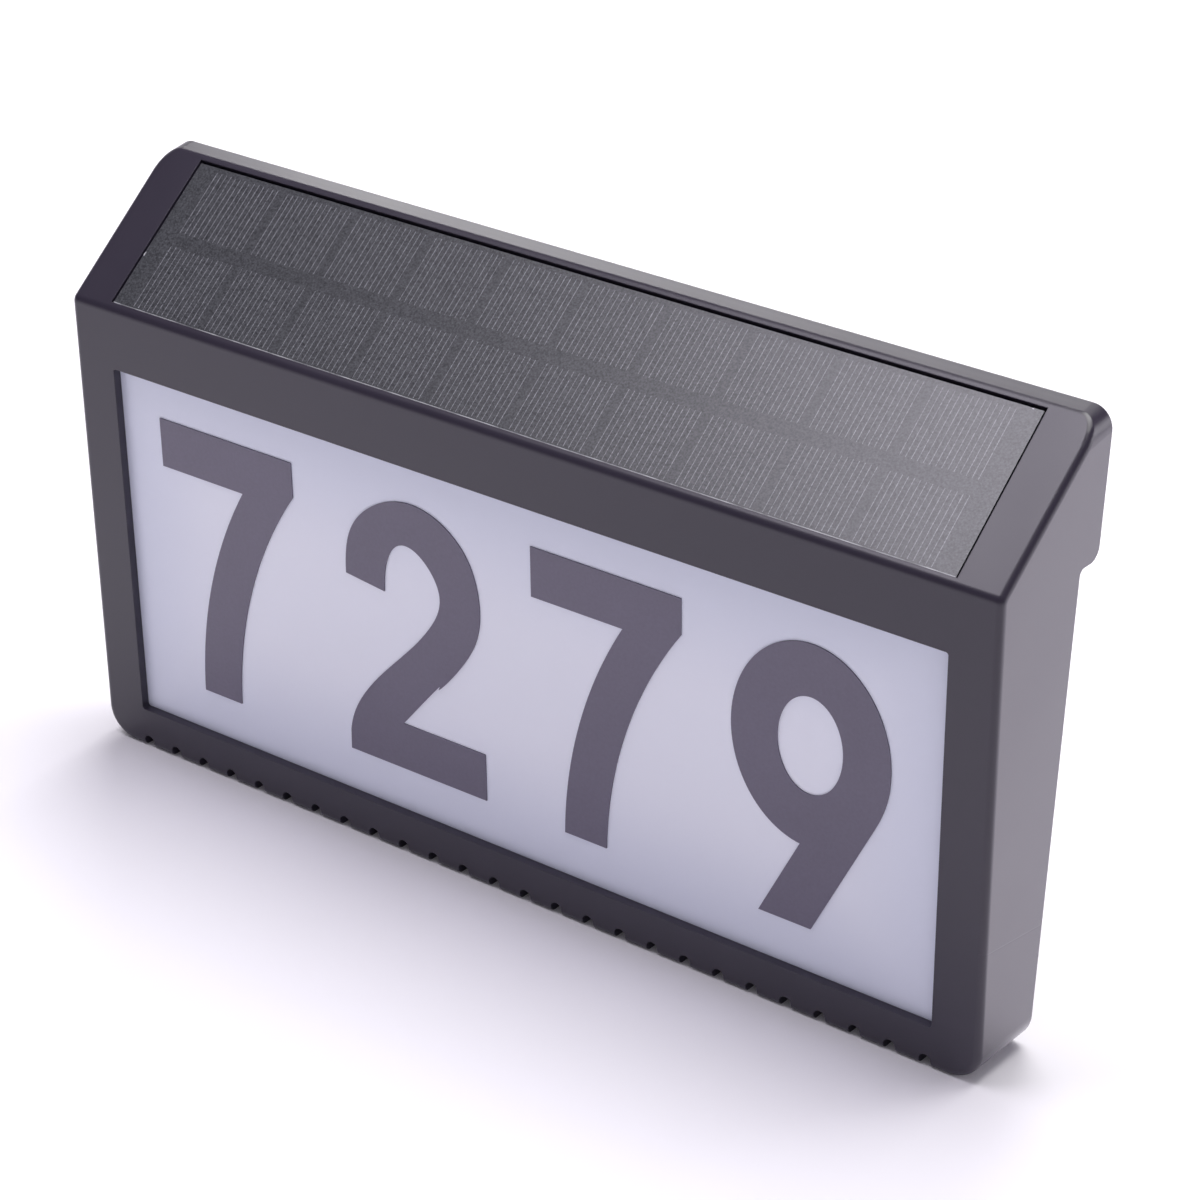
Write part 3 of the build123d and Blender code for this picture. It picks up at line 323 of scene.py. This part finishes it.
# %% [markdown]
# A hairline crosses each side about 41 mm up, where two parts of the mould met. It is a shallow
# groove, 0.6 mm wide and 0.03 mm deep, and shows only where light grazes it. The flat ledge on top
# is polished along its length instead of grained, so its sheen is drawn out into soft streaks.

# %% Frame and back cover
GROOVE_UP, GROOVE_SLANT = 41.0, 0.13
GROOVE_HALF, GROOVE_DEPTH = 0.3, 0.03
SIDES_FROM = 157.5
LEDGE_FROM, LEDGE_FULL = 186.5, 187.5
STREAK_SIZE, STREAK_HEIGHT = (400.0, 1.6, 1.6), 0.01


def mould_marks(tree, place, grain):
    """The grain's height in mm with the groove across the sides and streaks along the ledge."""
    axes = add_node(tree, "ShaderNodeSeparateXYZ", {0: place})
    away = {0: axes["Y"], 1: GROOVE_SLANT, 2: axes["Z"]}
    away = add_node(tree, "ShaderNodeMath", away, operation="MULTIPLY_ADD")[0]
    away = add_node(tree, "ShaderNodeMath", {0: away, 1: GROOVE_UP}, operation="SUBTRACT")[0]
    away = add_node(tree, "ShaderNodeMath", {0: away}, operation="ABSOLUTE")[0]
    groove = {"Value": away, "From Max": GROOVE_HALF, "To Min": -GROOVE_DEPTH, "To Max": 0.0}
    groove = add_node(tree, "ShaderNodeMapRange", groove, interpolation_type="SMOOTHSTEP")[0]
    out = add_node(tree, "ShaderNodeMath", {0: axes["X"]}, operation="ABSOLUTE")[0]
    on_side = add_node(tree, "ShaderNodeMath", {0: out, 1: SIDES_FROM}, operation="GREATER_THAN")[0]
    grained = {0: groove, 1: on_side, 2: grain}
    grained = add_node(tree, "ShaderNodeMath", grained, operation="MULTIPLY_ADD")[0]
    drawn = {"Vector": place, "Scale": [1 / size for size in STREAK_SIZE]}
    drawn = add_node(tree, "ShaderNodeMapping", drawn)[0]
    streaks = {"Vector": drawn, "Scale": 1.0, "Detail": 0.0}
    streaks = add_node(tree, "ShaderNodeTexNoise", streaks)["Fac"]
    streaks = {0: streaks, 1: STREAK_HEIGHT}
    streaks = add_node(tree, "ShaderNodeMath", streaks, operation="MULTIPLY")[0]
    on_ledge = {"Value": axes["Z"], "From Min": LEDGE_FROM, "From Max": LEDGE_FULL}
    on_ledge = add_node(tree, "ShaderNodeMapRange", on_ledge, interpolation_type="SMOOTHSTEP")[0]
    return add_node(tree, "ShaderNodeMix", {"Factor": on_ledge, "A": grained, "B": streaks})[0]


housing_abs = moulded_plastic("moulded_abs_dark_grey", "#342f3d", 0.31, relief=mould_marks, edge=0.35)
dress(housing_abs, "front_housing")
cover_abs = moulded_plastic("moulded_abs_back_cover", "#322f36", 0.42, grain=0.45, depth=0.02, edge=0.3)
dress(cover_abs, "rear_cover")


# %% [markdown]
# ## Opal panel
# Opal acrylic is clear plastic with a fine white filler. It looks like a soft bluish white with a
# satin surface. Light that enters it spreads sideways and is lost under the frame, so the panel is
# a little darker towards its edges, over about 45 mm. That is painted by the distance from the
# window's edge, because simulated scattering this deep would take long to render.

# %% Opal acrylic
WINDOW_HALF, WINDOW_FOOT, WINDOW_TOP = 144.2, 13.4, 131.5
EDGE_REACH, CORNER_BLEND = 45.0, 12.0
OPAL_GRAIN, OPAL_DEPTH = 0.8, 0.002


def edge_distances(tree, axes, half_width, foot, top):
    """Distances in mm from a panel's sides, its foot and its top."""
    out = add_node(tree, "ShaderNodeMath", {0: axes["X"]}, operation="ABSOLUTE")[0]
    from_side = add_node(tree, "ShaderNodeMath", {0: half_width, 1: out}, operation="SUBTRACT")[0]
    from_foot = add_node(tree, "ShaderNodeMath", {0: axes["Y"], 1: foot}, operation="SUBTRACT")[0]
    from_top = add_node(tree, "ShaderNodeMath", {0: top, 1: axes["Y"]}, operation="SUBTRACT")[0]
    return from_side, from_foot, from_top


material, tree = new_material("opal_acrylic")
place = millimetres(tree, "face")
axes = add_node(tree, "ShaderNodeSeparateXYZ", {0: place})
side, foot, head = edge_distances(tree, axes, WINDOW_HALF, WINDOW_FOOT, WINDOW_TOP)
inward = {0: foot, 1: head, 2: CORNER_BLEND}
inward = add_node(tree, "ShaderNodeMath", inward, operation="SMOOTH_MIN")[0]
inward = {0: inward, 1: side, 2: CORNER_BLEND}
inward = add_node(tree, "ShaderNodeMath", inward, operation="SMOOTH_MIN")[0]
inward = {"Value": inward, "From Max": EDGE_REACH}
inward = add_node(tree, "ShaderNodeMapRange", inward, interpolation_type="SMOOTHSTEP")[0]
colour = {"Fac": inward, "Color1": linear("#dfe2f3"), "Color2": linear("#eff0fc")}
colour = add_node(tree, "ShaderNodeMixRGB", colour)[0]
haze = {"Vector": place, "Scale": 1 / OPAL_GRAIN, "Detail": 2.0}
haze = add_node(tree, "ShaderNodeTexNoise", haze)["Fac"]
bump = add_node(tree, "ShaderNodeBump", {"Height": haze, "Distance": OPAL_DEPTH * MM})[0]
finish_material(tree, {"Base Color": colour, "Roughness": 0.3, "IOR": 1.49, "Normal": bump})
dress(material, "diffuser_panel")

# %% [markdown]
# ## Digits
# The digits are cut from self-adhesive vinyl film, which is paler than the frame's plastic. It has
# hardly any grain, so the digits look flat and even, like print.

# %% Vinyl film
vinyl = moulded_plastic("satin_vinyl_film", "#686275", 0.32, grain=0.9, depth=0.003, ior=1.5)
dress(vinyl, "numeral_7_left", "numeral_2", "numeral_7_right", "numeral_9")

# %% [markdown]
# ## Solar panel
# Each of the twenty cells is dark silicon with silver fingers 1.8 mm apart that run up the slope.
# The fingers are printed, so they need no geometry: the distance to the nearest one comes from
# folding the coordinate across the panel, first to one cell and then to one finger. They stop
# short of the gap between the two rows and of the panel's ends. The real fingers are about a tenth
# of a millimetre wide and are drawn twice as wide here, because a thinner line would not show.

# %% Silver fingers on silicon
CELL_PITCH, CELLS_HALF = 27.7, 138.5
FINGER_PITCH, FINGER_WIDTH = 1.823, 0.22
FINGERS_HALF = 7 * FINGER_PITCH - 0.8
LOWER_ROW, UPPER_ROW = (3.3, 25.2), (30.1, 52.2)
SILICON_GRAIN = 0.5


def fold(tree, coordinate, pitch):
    """The coordinate within one pitch, 0 in the pitch's middle."""
    folded = {0: coordinate, 1: pitch, 2: 0.0}
    folded = add_node(tree, "ShaderNodeMath", folded, operation="WRAP")[0]
    return add_node(tree, "ShaderNodeMath", {0: folded, 1: pitch / 2}, operation="SUBTRACT")[0]


def finger_mask(tree, axes):
    """1 on the silver fingers, 0 between them."""
    in_cell = fold(tree, axes["X"], CELL_PITCH)
    nearest = {0: in_cell, 1: FINGER_PITCH / 2}
    nearest = add_node(tree, "ShaderNodeMath", nearest, operation="PINGPONG")[0]
    mask = {0: nearest, 1: (FINGER_PITCH - FINGER_WIDTH) / 2}
    mask = add_node(tree, "ShaderNodeMath", mask, operation="GREATER_THAN")[0]
    for coordinate, reach in ((in_cell, FINGERS_HALF), (axes["X"], CELLS_HALF)):
        inside = {0: coordinate, 1: 0.0, 2: reach}
        inside = add_node(tree, "ShaderNodeMath", inside, operation="COMPARE")[0]
        mask = add_node(tree, "ShaderNodeMath", {0: mask, 1: inside}, operation="MULTIPLY")[0]
    rows = []
    for foot, head in (LOWER_ROW, UPPER_ROW):
        span = {0: axes["Y"], 1: (foot + head) / 2, 2: (head - foot) / 2}
        rows.append(add_node(tree, "ShaderNodeMath", span, operation="COMPARE")[0])
    in_row = add_node(tree, "ShaderNodeMath", {0: rows[0], 1: rows[1]}, operation="ADD")[0]
    return add_node(tree, "ShaderNodeMath", {0: mask, 1: in_row}, operation="MULTIPLY")[0]


material, tree = new_material("silicon_cells")
place = millimetres(tree, "slope")
axes = add_node(tree, "ShaderNodeSeparateXYZ", {0: place})
grain = {"Vector": place, "Scale": 1 / SILICON_GRAIN, "Detail": 3.0}
grain = add_node(tree, "ShaderNodeTexNoise", grain)["Fac"]
silicon = {"Fac": grain, "Color1": linear("#1a1b22"), "Color2": linear("#30313a")}
silicon = add_node(tree, "ShaderNodeMixRGB", silicon)[0]
colour = {"Fac": finger_mask(tree, axes), "Color1": silicon, "Color2": linear("#a9a9b2")}
colour = add_node(tree, "ShaderNodeMixRGB", colour)[0]
finish_material(tree, {"Base Color": colour, "Roughness": 0.3, "IOR": 1.5})
dress(material, "solar_cells")

# %% [markdown]
# The panel's top skin is clear film with a fine satin texture, which hazes the cells below. It
# could be a real see-through layer, but light that passes through haze renders slowly and grainy,
# and the thin fingers would be lost. So the film is opaque and its colour is what is seen through
# it: the haze's dark grey with the paler fingers. A thin, broken pale line along its foot is a
# painted highlight, which stands for the light caught by the rounded rim of the frame's recess just
# below. A few pale specks of glue stand along its other edges, where it was pressed in.

# %% Satin film over the cells
PANEL_HALF, PANEL_FOOT, PANEL_TOP = 144.0, 2.6, 53.77
SATIN_GRAIN, SATIN_DEPTH = 0.55, 0.02
SPECKLE_FROM, SPECKLE_TO = 0.25, 0.75
# Noise size for the glue specks and the painted rim highlight, the specks' threshold and width, then the
# width and strength of the painted highlight along the film's foot
SPECK_AND_HIGHLIGHT_LUMP, SPECKS_ABOVE = 6.0, 0.66
SPECK_WIDTH, RIM_HIGHLIGHT_WIDTH = 0.35, 0.28
RIM_HIGHLIGHT_FROM, RIM_HIGHLIGHT_TO = 0.35, 0.62
RIM_HIGHLIGHT_FAINT, RIM_HIGHLIGHT_STRONG = 0.15, 0.8
material, tree = new_material("satin_panel_film")
place = millimetres(tree, "slope")
axes = add_node(tree, "ShaderNodeSeparateXYZ", {0: place})
satin = {"Vector": place, "Scale": 1 / SATIN_GRAIN, "Detail": 3.0}
satin = add_node(tree, "ShaderNodeTexNoise", satin)["Fac"]
speckle = {"Value": satin, "From Min": SPECKLE_FROM, "From Max": SPECKLE_TO}
speckle = add_node(tree, "ShaderNodeMapRange", speckle)[0]
haze = {"Fac": speckle, "Color1": linear("#1b1c22"), "Color2": linear("#58595f")}
haze = add_node(tree, "ShaderNodeMixRGB", haze)[0]
fingers = {"Fac": speckle, "Color1": linear("#4a4a52"), "Color2": linear("#a4a4ac")}
fingers = add_node(tree, "ShaderNodeMixRGB", fingers)[0]
cells = {"Fac": finger_mask(tree, axes), "Color1": haze, "Color2": fingers}
cells = add_node(tree, "ShaderNodeMixRGB", cells)[0]
side, foot, head = edge_distances(tree, axes, PANEL_HALF, PANEL_FOOT, PANEL_TOP)
speck_and_highlight_lumps = {"Vector": place, "Scale": 1 / SPECK_AND_HIGHLIGHT_LUMP, "Detail": 3.0}
speck_and_highlight_lumps = add_node(tree, "ShaderNodeTexNoise", speck_and_highlight_lumps)["Fac"]
rim = add_node(tree, "ShaderNodeMath", {0: side, 1: head}, operation="MINIMUM")[0]
rim = add_node(tree, "ShaderNodeMath", {0: rim, 1: SPECK_WIDTH}, operation="LESS_THAN")[0]
specks = {0: speck_and_highlight_lumps, 1: SPECKS_ABOVE}
specks = add_node(tree, "ShaderNodeMath", specks, operation="GREATER_THAN")[0]
specks = add_node(tree, "ShaderNodeMath", {0: rim, 1: specks}, operation="MULTIPLY")[0]
# Painted highlight: a broken pale line along the film's foot stands for light on the recess's rounded
# rim
at_foot = add_node(tree, "ShaderNodeMath", {0: foot, 1: RIM_HIGHLIGHT_WIDTH}, operation="LESS_THAN")[0]
painted_rim_highlight = {"Value": speck_and_highlight_lumps, "From Min": RIM_HIGHLIGHT_FROM, "From Max": RIM_HIGHLIGHT_TO}
painted_rim_highlight |= {"To Min": RIM_HIGHLIGHT_FAINT, "To Max": RIM_HIGHLIGHT_STRONG}
painted_rim_highlight = add_node(tree, "ShaderNodeMapRange", painted_rim_highlight)[0]
painted_rim_highlight = add_node(tree, "ShaderNodeMath", {0: at_foot, 1: painted_rim_highlight}, operation="MULTIPLY")[0]
# The glue specks and the painted rim highlight share one pale colour
specks_and_rim_highlight = add_node(tree, "ShaderNodeMath", {0: painted_rim_highlight, 1: specks}, operation="MAXIMUM")[0]
colour = {"Fac": specks_and_rim_highlight, "Color1": cells, "Color2": linear("#c9cad0")}
colour = add_node(tree, "ShaderNodeMixRGB", colour)[0]
bump = add_node(tree, "ShaderNodeBump", {"Height": satin, "Distance": SATIN_DEPTH * MM})[0]
finish_material(tree, {"Base Color": colour, "Roughness": 0.3, "IOR": 1.6, "Normal": bump})
dress(material, "solar_laminate")

# %% [markdown]
# Under the cells lie a thin black glass fibre board and black foam tape, which shows as the dark
# line round the panel. Foam has open pores a few tenths of a millimetre wide and hardly shines.

# %% Board and tape under the cells
board_black = moulded_plastic("black_glass_fibre_board", "#202126", 0.45, grain=0.6, depth=0.01, ior=1.5)
dress(board_black, "solar_backing")
foam = moulded_plastic("black_foam_tape", "#1b1b1c", 0.85, grain=0.5, depth=0.08, ior=1.4)
dress(foam, "panel_tape")

# %% [markdown]
# ## Rubber and inner plastics
# Silicone and the rubber of the mode button are soft, dull and slightly dusty. The battery holder
# is black polypropylene with a waxy sheen, the switch is nylon, and the light tray is white ABS, as
# white as it can be moulded, because it throws the light forward. All of these are moulded, so
# they are the moulded plastic from above with their own colour, sheen and grain.

# %% Rubber and inner plastics
# name, colour, roughness, grain in mm, its depth in mm, index of refraction, rounding in mm, piece
MOULDED_PIECES = (
    ("silicone_rubber", "#1d1c1f", 0.62, 0.40, 0.015, 1.41, 0.0, "cover_gasket"),
    ("soft_dark_rubber", "#29272c", 0.66, 0.35, 0.020, 1.50, 0.25, "mode_button"),
    ("white_abs", "#e9e8e4", 0.38, 0.50, 0.010, 1.53, 0.0, "reflector_tray"),
    ("black_polypropylene", "#1e1e20", 0.40, 0.50, 0.020, 1.49, 0.0, "battery_holder"),
    ("black_nylon", "#19191b", 0.48, 0.25, 0.010, 1.53, 0.0, "switch_body"),
    ("white_nylon", "#dcdad2", 0.42, 0.25, 0.006, 1.53, 0.0, "switch_plunger"),
    ("natural_nylon", "#d9d2bf", 0.42, 0.25, 0.008, 1.53, 0.0, "board_plugs"),
    ("black_epoxy", "#1a1a1b", 0.55, 0.15, 0.012, 1.53, 0.0, "board_chips"),
    ("red_pvc_insulation", "#a81c18", 0.36, 0.80, 0.010, 1.53, 0.0, "leads_red"),
    ("black_pvc_insulation", "#161617", 0.36, 0.80, 0.010, 1.53, 0.0, "leads_black"),
)
for name, colour, roughness, grain, depth, ior, edge, piece in MOULDED_PIECES:
    dress(moulded_plastic(name, colour, roughness, grain, depth, ior, edge=edge), piece)

# %% [markdown]
# ## Plated metal
# The screws are steel with a bright zinc coat, and the battery contacts are spring steel with
# nickel, which is smoother and warmer. Zinc grows in small crystals, so its shine varies in spots
# under a millimetre wide. A metal's colour is its mirror colour, so it is pale, and the darkness
# comes from what it mirrors. The cover's screws have cross recesses. They are only 3 mm wide and
# hardly any light leaves them, so they are drawn dark on the heads: a point is in a recess when it
# is close to a screw's middle in both directions and very close in one of them.

# %% Zinc and nickel
COVER_SCREWS = ((150.4, 22.0), (150.4, 77.0), (150.4, 132.0), (150.4, 165.0), (60.0, 9.2), (60.0, 178.7))
RECESS_REACH, RECESS_HALF = 1.5, 0.33
TARNISH_SIZE, TARNISH_SPREAD = 1.2, 0.1
CRYSTAL_DEPTH = 0.01


def cross_recesses(tree, place):
    """1 inside the cross recesses of the cover's screws, 0 elsewhere."""
    axes = add_node(tree, "ShaderNodeSeparateXYZ", {0: place})
    out = add_node(tree, "ShaderNodeMath", {0: axes["X"]}, operation="ABSOLUTE")[0]
    inside = 0.0
    for across, up in COVER_SCREWS:
        away = []
        for coordinate, centre in ((out, across), (axes["Z"], up)):
            offset = {0: coordinate, 1: centre}
            offset = add_node(tree, "ShaderNodeMath", offset, operation="SUBTRACT")[0]
            away.append(add_node(tree, "ShaderNodeMath", {0: offset}, operation="ABSOLUTE")[0])
        near = add_node(tree, "ShaderNodeMath", {0: away[0], 1: away[1]}, operation="MINIMUM")[0]
        far = add_node(tree, "ShaderNodeMath", {0: away[0], 1: away[1]}, operation="MAXIMUM")[0]
        narrow = add_node(tree, "ShaderNodeMath", {0: near, 1: RECESS_HALF}, operation="LESS_THAN")[0]
        short = add_node(tree, "ShaderNodeMath", {0: far, 1: RECESS_REACH}, operation="LESS_THAN")[0]
        inside = {0: narrow, 1: short, 2: inside}
        inside = add_node(tree, "ShaderNodeMath", inside, operation="MULTIPLY_ADD")[0]
    return inside


def plated_metal(name, dull, bright, roughness, spot, recesses=None):
    """Plated steel; spot is the size of its crystals in mm."""
    material, tree = new_material(name)
    place = millimetres(tree)
    spots = {"Vector": place, "Scale": 1 / spot}
    spots = add_node(tree, "ShaderNodeTexVoronoi", spots)["Distance"]
    cloud = {"Vector": place, "Scale": 1 / TARNISH_SIZE, "Detail": 4.0}
    cloud = add_node(tree, "ShaderNodeTexNoise", cloud)["Fac"]
    both = add_node(tree, "ShaderNodeMath", {0: spots, 1: cloud}, operation="MULTIPLY")[0]
    colour = {"Fac": both, "Color1": linear(bright), "Color2": linear(dull)}
    colour = add_node(tree, "ShaderNodeMixRGB", colour)[0]
    if recesses:
        colour = {"Fac": recesses(tree, place), "Color1": colour, "Color2": linear("#242527")}
        colour = add_node(tree, "ShaderNodeMixRGB", colour)[0]
    rough = {"To Min": roughness - TARNISH_SPREAD, "To Max": roughness + TARNISH_SPREAD}
    rough = add_node(tree, "ShaderNodeMapRange", rough | {"Value": cloud})[0]
    bump = add_node(tree, "ShaderNodeBump", {"Height": spots, "Distance": CRYSTAL_DEPTH * MM})[0]
    finish_material(tree, {"Base Color": colour, "Metallic": 1.0, "Roughness": rough, "Normal": bump})
    return material


heads = plated_metal("zinc_plated_steel_heads", "#85888d", "#b4b7bb", 0.36, 0.4, cross_recesses)
dress(heads, "cover_screws")
zinc = plated_metal("zinc_plated_steel", "#85888d", "#b4b7bb", 0.36, 0.4)
dress(zinc, "tray_screws", "board_screws", "holder_screws")
nickel = plated_metal("nickel_plated_spring_steel", "#a39f97", "#d6d1c8", 0.26, 0.25)
dress(nickel, "battery_contacts")

# %% [markdown]
# ## Battery
# The cell is an 18650 in a shrunk PVC sleeve, plain blue with no print. The sleeve stops a little
# short of both ends, where the nickel-plated can shows, so the distance from the middle of the
# cell decides which of the two a point is. Shrinking leaves faint rings round the sleeve.

# %% Sleeve and can
CAN_SHOWS = 1.5
RING_SIZE, RING_DEPTH = (1.5, 40.0, 40.0), 0.05
(end_low, end_high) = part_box("battery_cell")
middle = (end_low[0] + end_high[0]) / 2 / MM
half_sleeve = (end_high[0] - end_low[0]) / 2 / MM - CAN_SHOWS
material, tree = new_material("blue_pvc_sleeve")
place = millimetres(tree)
axes = add_node(tree, "ShaderNodeSeparateXYZ", {0: place})
sleeve = {0: axes["X"], 1: middle, 2: half_sleeve}
sleeve = add_node(tree, "ShaderNodeMath", sleeve, operation="COMPARE")[0]
metal = add_node(tree, "ShaderNodeMath", {0: 1.0, 1: sleeve}, operation="SUBTRACT")[0]
along = {"Vector": place, "Scale": [1 / size for size in RING_SIZE]}
along = add_node(tree, "ShaderNodeMapping", along)[0]
rings = {"Vector": along, "Scale": 1.0, "Detail": 2.0}
rings = add_node(tree, "ShaderNodeTexNoise", rings)["Fac"]
blue = {"Fac": rings, "Color1": linear("#1d3f86"), "Color2": linear("#2a55a6")}
blue = add_node(tree, "ShaderNodeMixRGB", blue)[0]
colour = {"Fac": sleeve, "Color1": linear("#cfcac2"), "Color2": blue}
colour = add_node(tree, "ShaderNodeMixRGB", colour)[0]
bump = add_node(tree, "ShaderNodeBump", {"Height": rings, "Distance": RING_DEPTH * MM})[0]
finish_material(tree, {"Base Color": colour, "Metallic": metal, "Roughness": 0.3, "Normal": bump})
dress(material, "battery_cell")
print("sleeve is", round(2 * half_sleeve, 1), "mm long")

# %% [markdown]
# ## Circuit boards
# A board's colour is its solder mask, a thin glossy lacquer. The copper tracks below it raise it a
# little and make it paler. On the control board the tracks run mostly along it, about a millimetre
# apart, with steps, which a brick pattern draws well: its joints are the tracks.

# %% Solder mask over copper tracks
TRACK_RUN = 9
TRACK_HEIGHT = 0.03


def solder_mask(name, mask, tracks, spacing, surface="body"):
    """Lacquered board; spacing is the distance between tracks in mm."""
    material, tree = new_material(name)
    place = millimetres(tree, surface)
    axes = add_node(tree, "ShaderNodeSeparateXYZ", {0: place})
    up = axes["Y"] if surface == "face" else axes["Z"]
    flat = add_node(tree, "ShaderNodeCombineXYZ", {"X": axes["X"], "Y": up})[0]
    brick = {"Vector": flat, "Scale": 1.0, "Color1": linear(mask), "Color2": linear(mask)}
    brick |= {"Mortar": linear(tracks), "Mortar Size": spacing / TRACK_RUN, "Mortar Smooth": 0.2}
    brick |= {"Brick Width": TRACK_RUN * spacing, "Row Height": spacing}
    brick = add_node(tree, "ShaderNodeTexBrick", brick, offset=0.37, squash=0.6, squash_frequency=3)
    bump = {"Height": brick["Fac"], "Distance": TRACK_HEIGHT * MM}
    bump = add_node(tree, "ShaderNodeBump", bump)[0]
    finish_material(tree, {"Base Color": brick["Color"], "Roughness": 0.28, "IOR": 1.55, "Normal": bump})
    return material


green_mask = solder_mask("green_solder_mask", "#0f4a2a", "#1f6b3f", 1.3)
dress(green_mask, "control_board")
white_mask = solder_mask("white_solder_mask", "#e6e5df", "#d2cfc4", 2.2, "face")
dress(white_mask, "led_board_upper", "led_board_lower")

# %% [markdown]
# ## Light emitting diodes
# Each diode is a small white ceramic-filled package with a round well of yellow phosphor gel,
# which turns the chip's blue light white. The diodes stand 22.5 mm apart on two strips, so folding
# the coordinate along the strip gives every one of them its own well.

# %% Phosphor in white packages
LED_PITCH = 22.5
STRIPS_UP = (29.4, 115.5)
WELL_RADIUS = 1.15
GEL_GRAIN = 0.2
material, tree = new_material("phosphor_in_white_package")
place = millimetres(tree, "face")
axes = add_node(tree, "ShaderNodeSeparateXYZ", {0: place})
across = fold(tree, axes["X"], LED_PITCH)
rises = []
for strip in STRIPS_UP:
    rise = add_node(tree, "ShaderNodeMath", {0: axes["Y"], 1: strip}, operation="SUBTRACT")[0]
    rises.append(add_node(tree, "ShaderNodeMath", {0: rise}, operation="ABSOLUTE")[0])
rise = add_node(tree, "ShaderNodeMath", {0: rises[0], 1: rises[1]}, operation="MINIMUM")[0]
spot = add_node(tree, "ShaderNodeCombineXYZ", {"X": across, "Y": rise})[0]
radius = add_node(tree, "ShaderNodeVectorMath", {0: spot}, operation="LENGTH")["Value"]
well = add_node(tree, "ShaderNodeMath", {0: radius, 1: WELL_RADIUS}, operation="LESS_THAN")[0]
gel = {"Vector": place, "Scale": 1 / GEL_GRAIN, "Detail": 2.0}
gel = add_node(tree, "ShaderNodeTexNoise", gel)["Fac"]
gel = {"Fac": gel, "Color1": linear("#c9a52c"), "Color2": linear("#e3c657")}
gel = add_node(tree, "ShaderNodeMixRGB", gel)[0]
colour = {"Fac": well, "Color1": linear("#ecebe4"), "Color2": gel}
colour = add_node(tree, "ShaderNodeMixRGB", colour)[0]
finish_material(tree, {"Base Color": colour, "Roughness": 0.35, "IOR": 1.5})
dress(material, "led_chips_upper", "led_chips_lower")

# %% [markdown]
# ## Finish check
# The pieces come with plain materials from the CAD, so a forgotten piece has a material too and
# doesn't stand out. What counts is whether it was dressed above: the list has to be empty.

# %% Every piece has a finish
print("pieces without a finish:", sorted(set(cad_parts) - dressed))

# %% [markdown]
# The dressed sign's box is measured once more, in the same way as the solids' box at the start.

# %% The dressed sign's box
low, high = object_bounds()
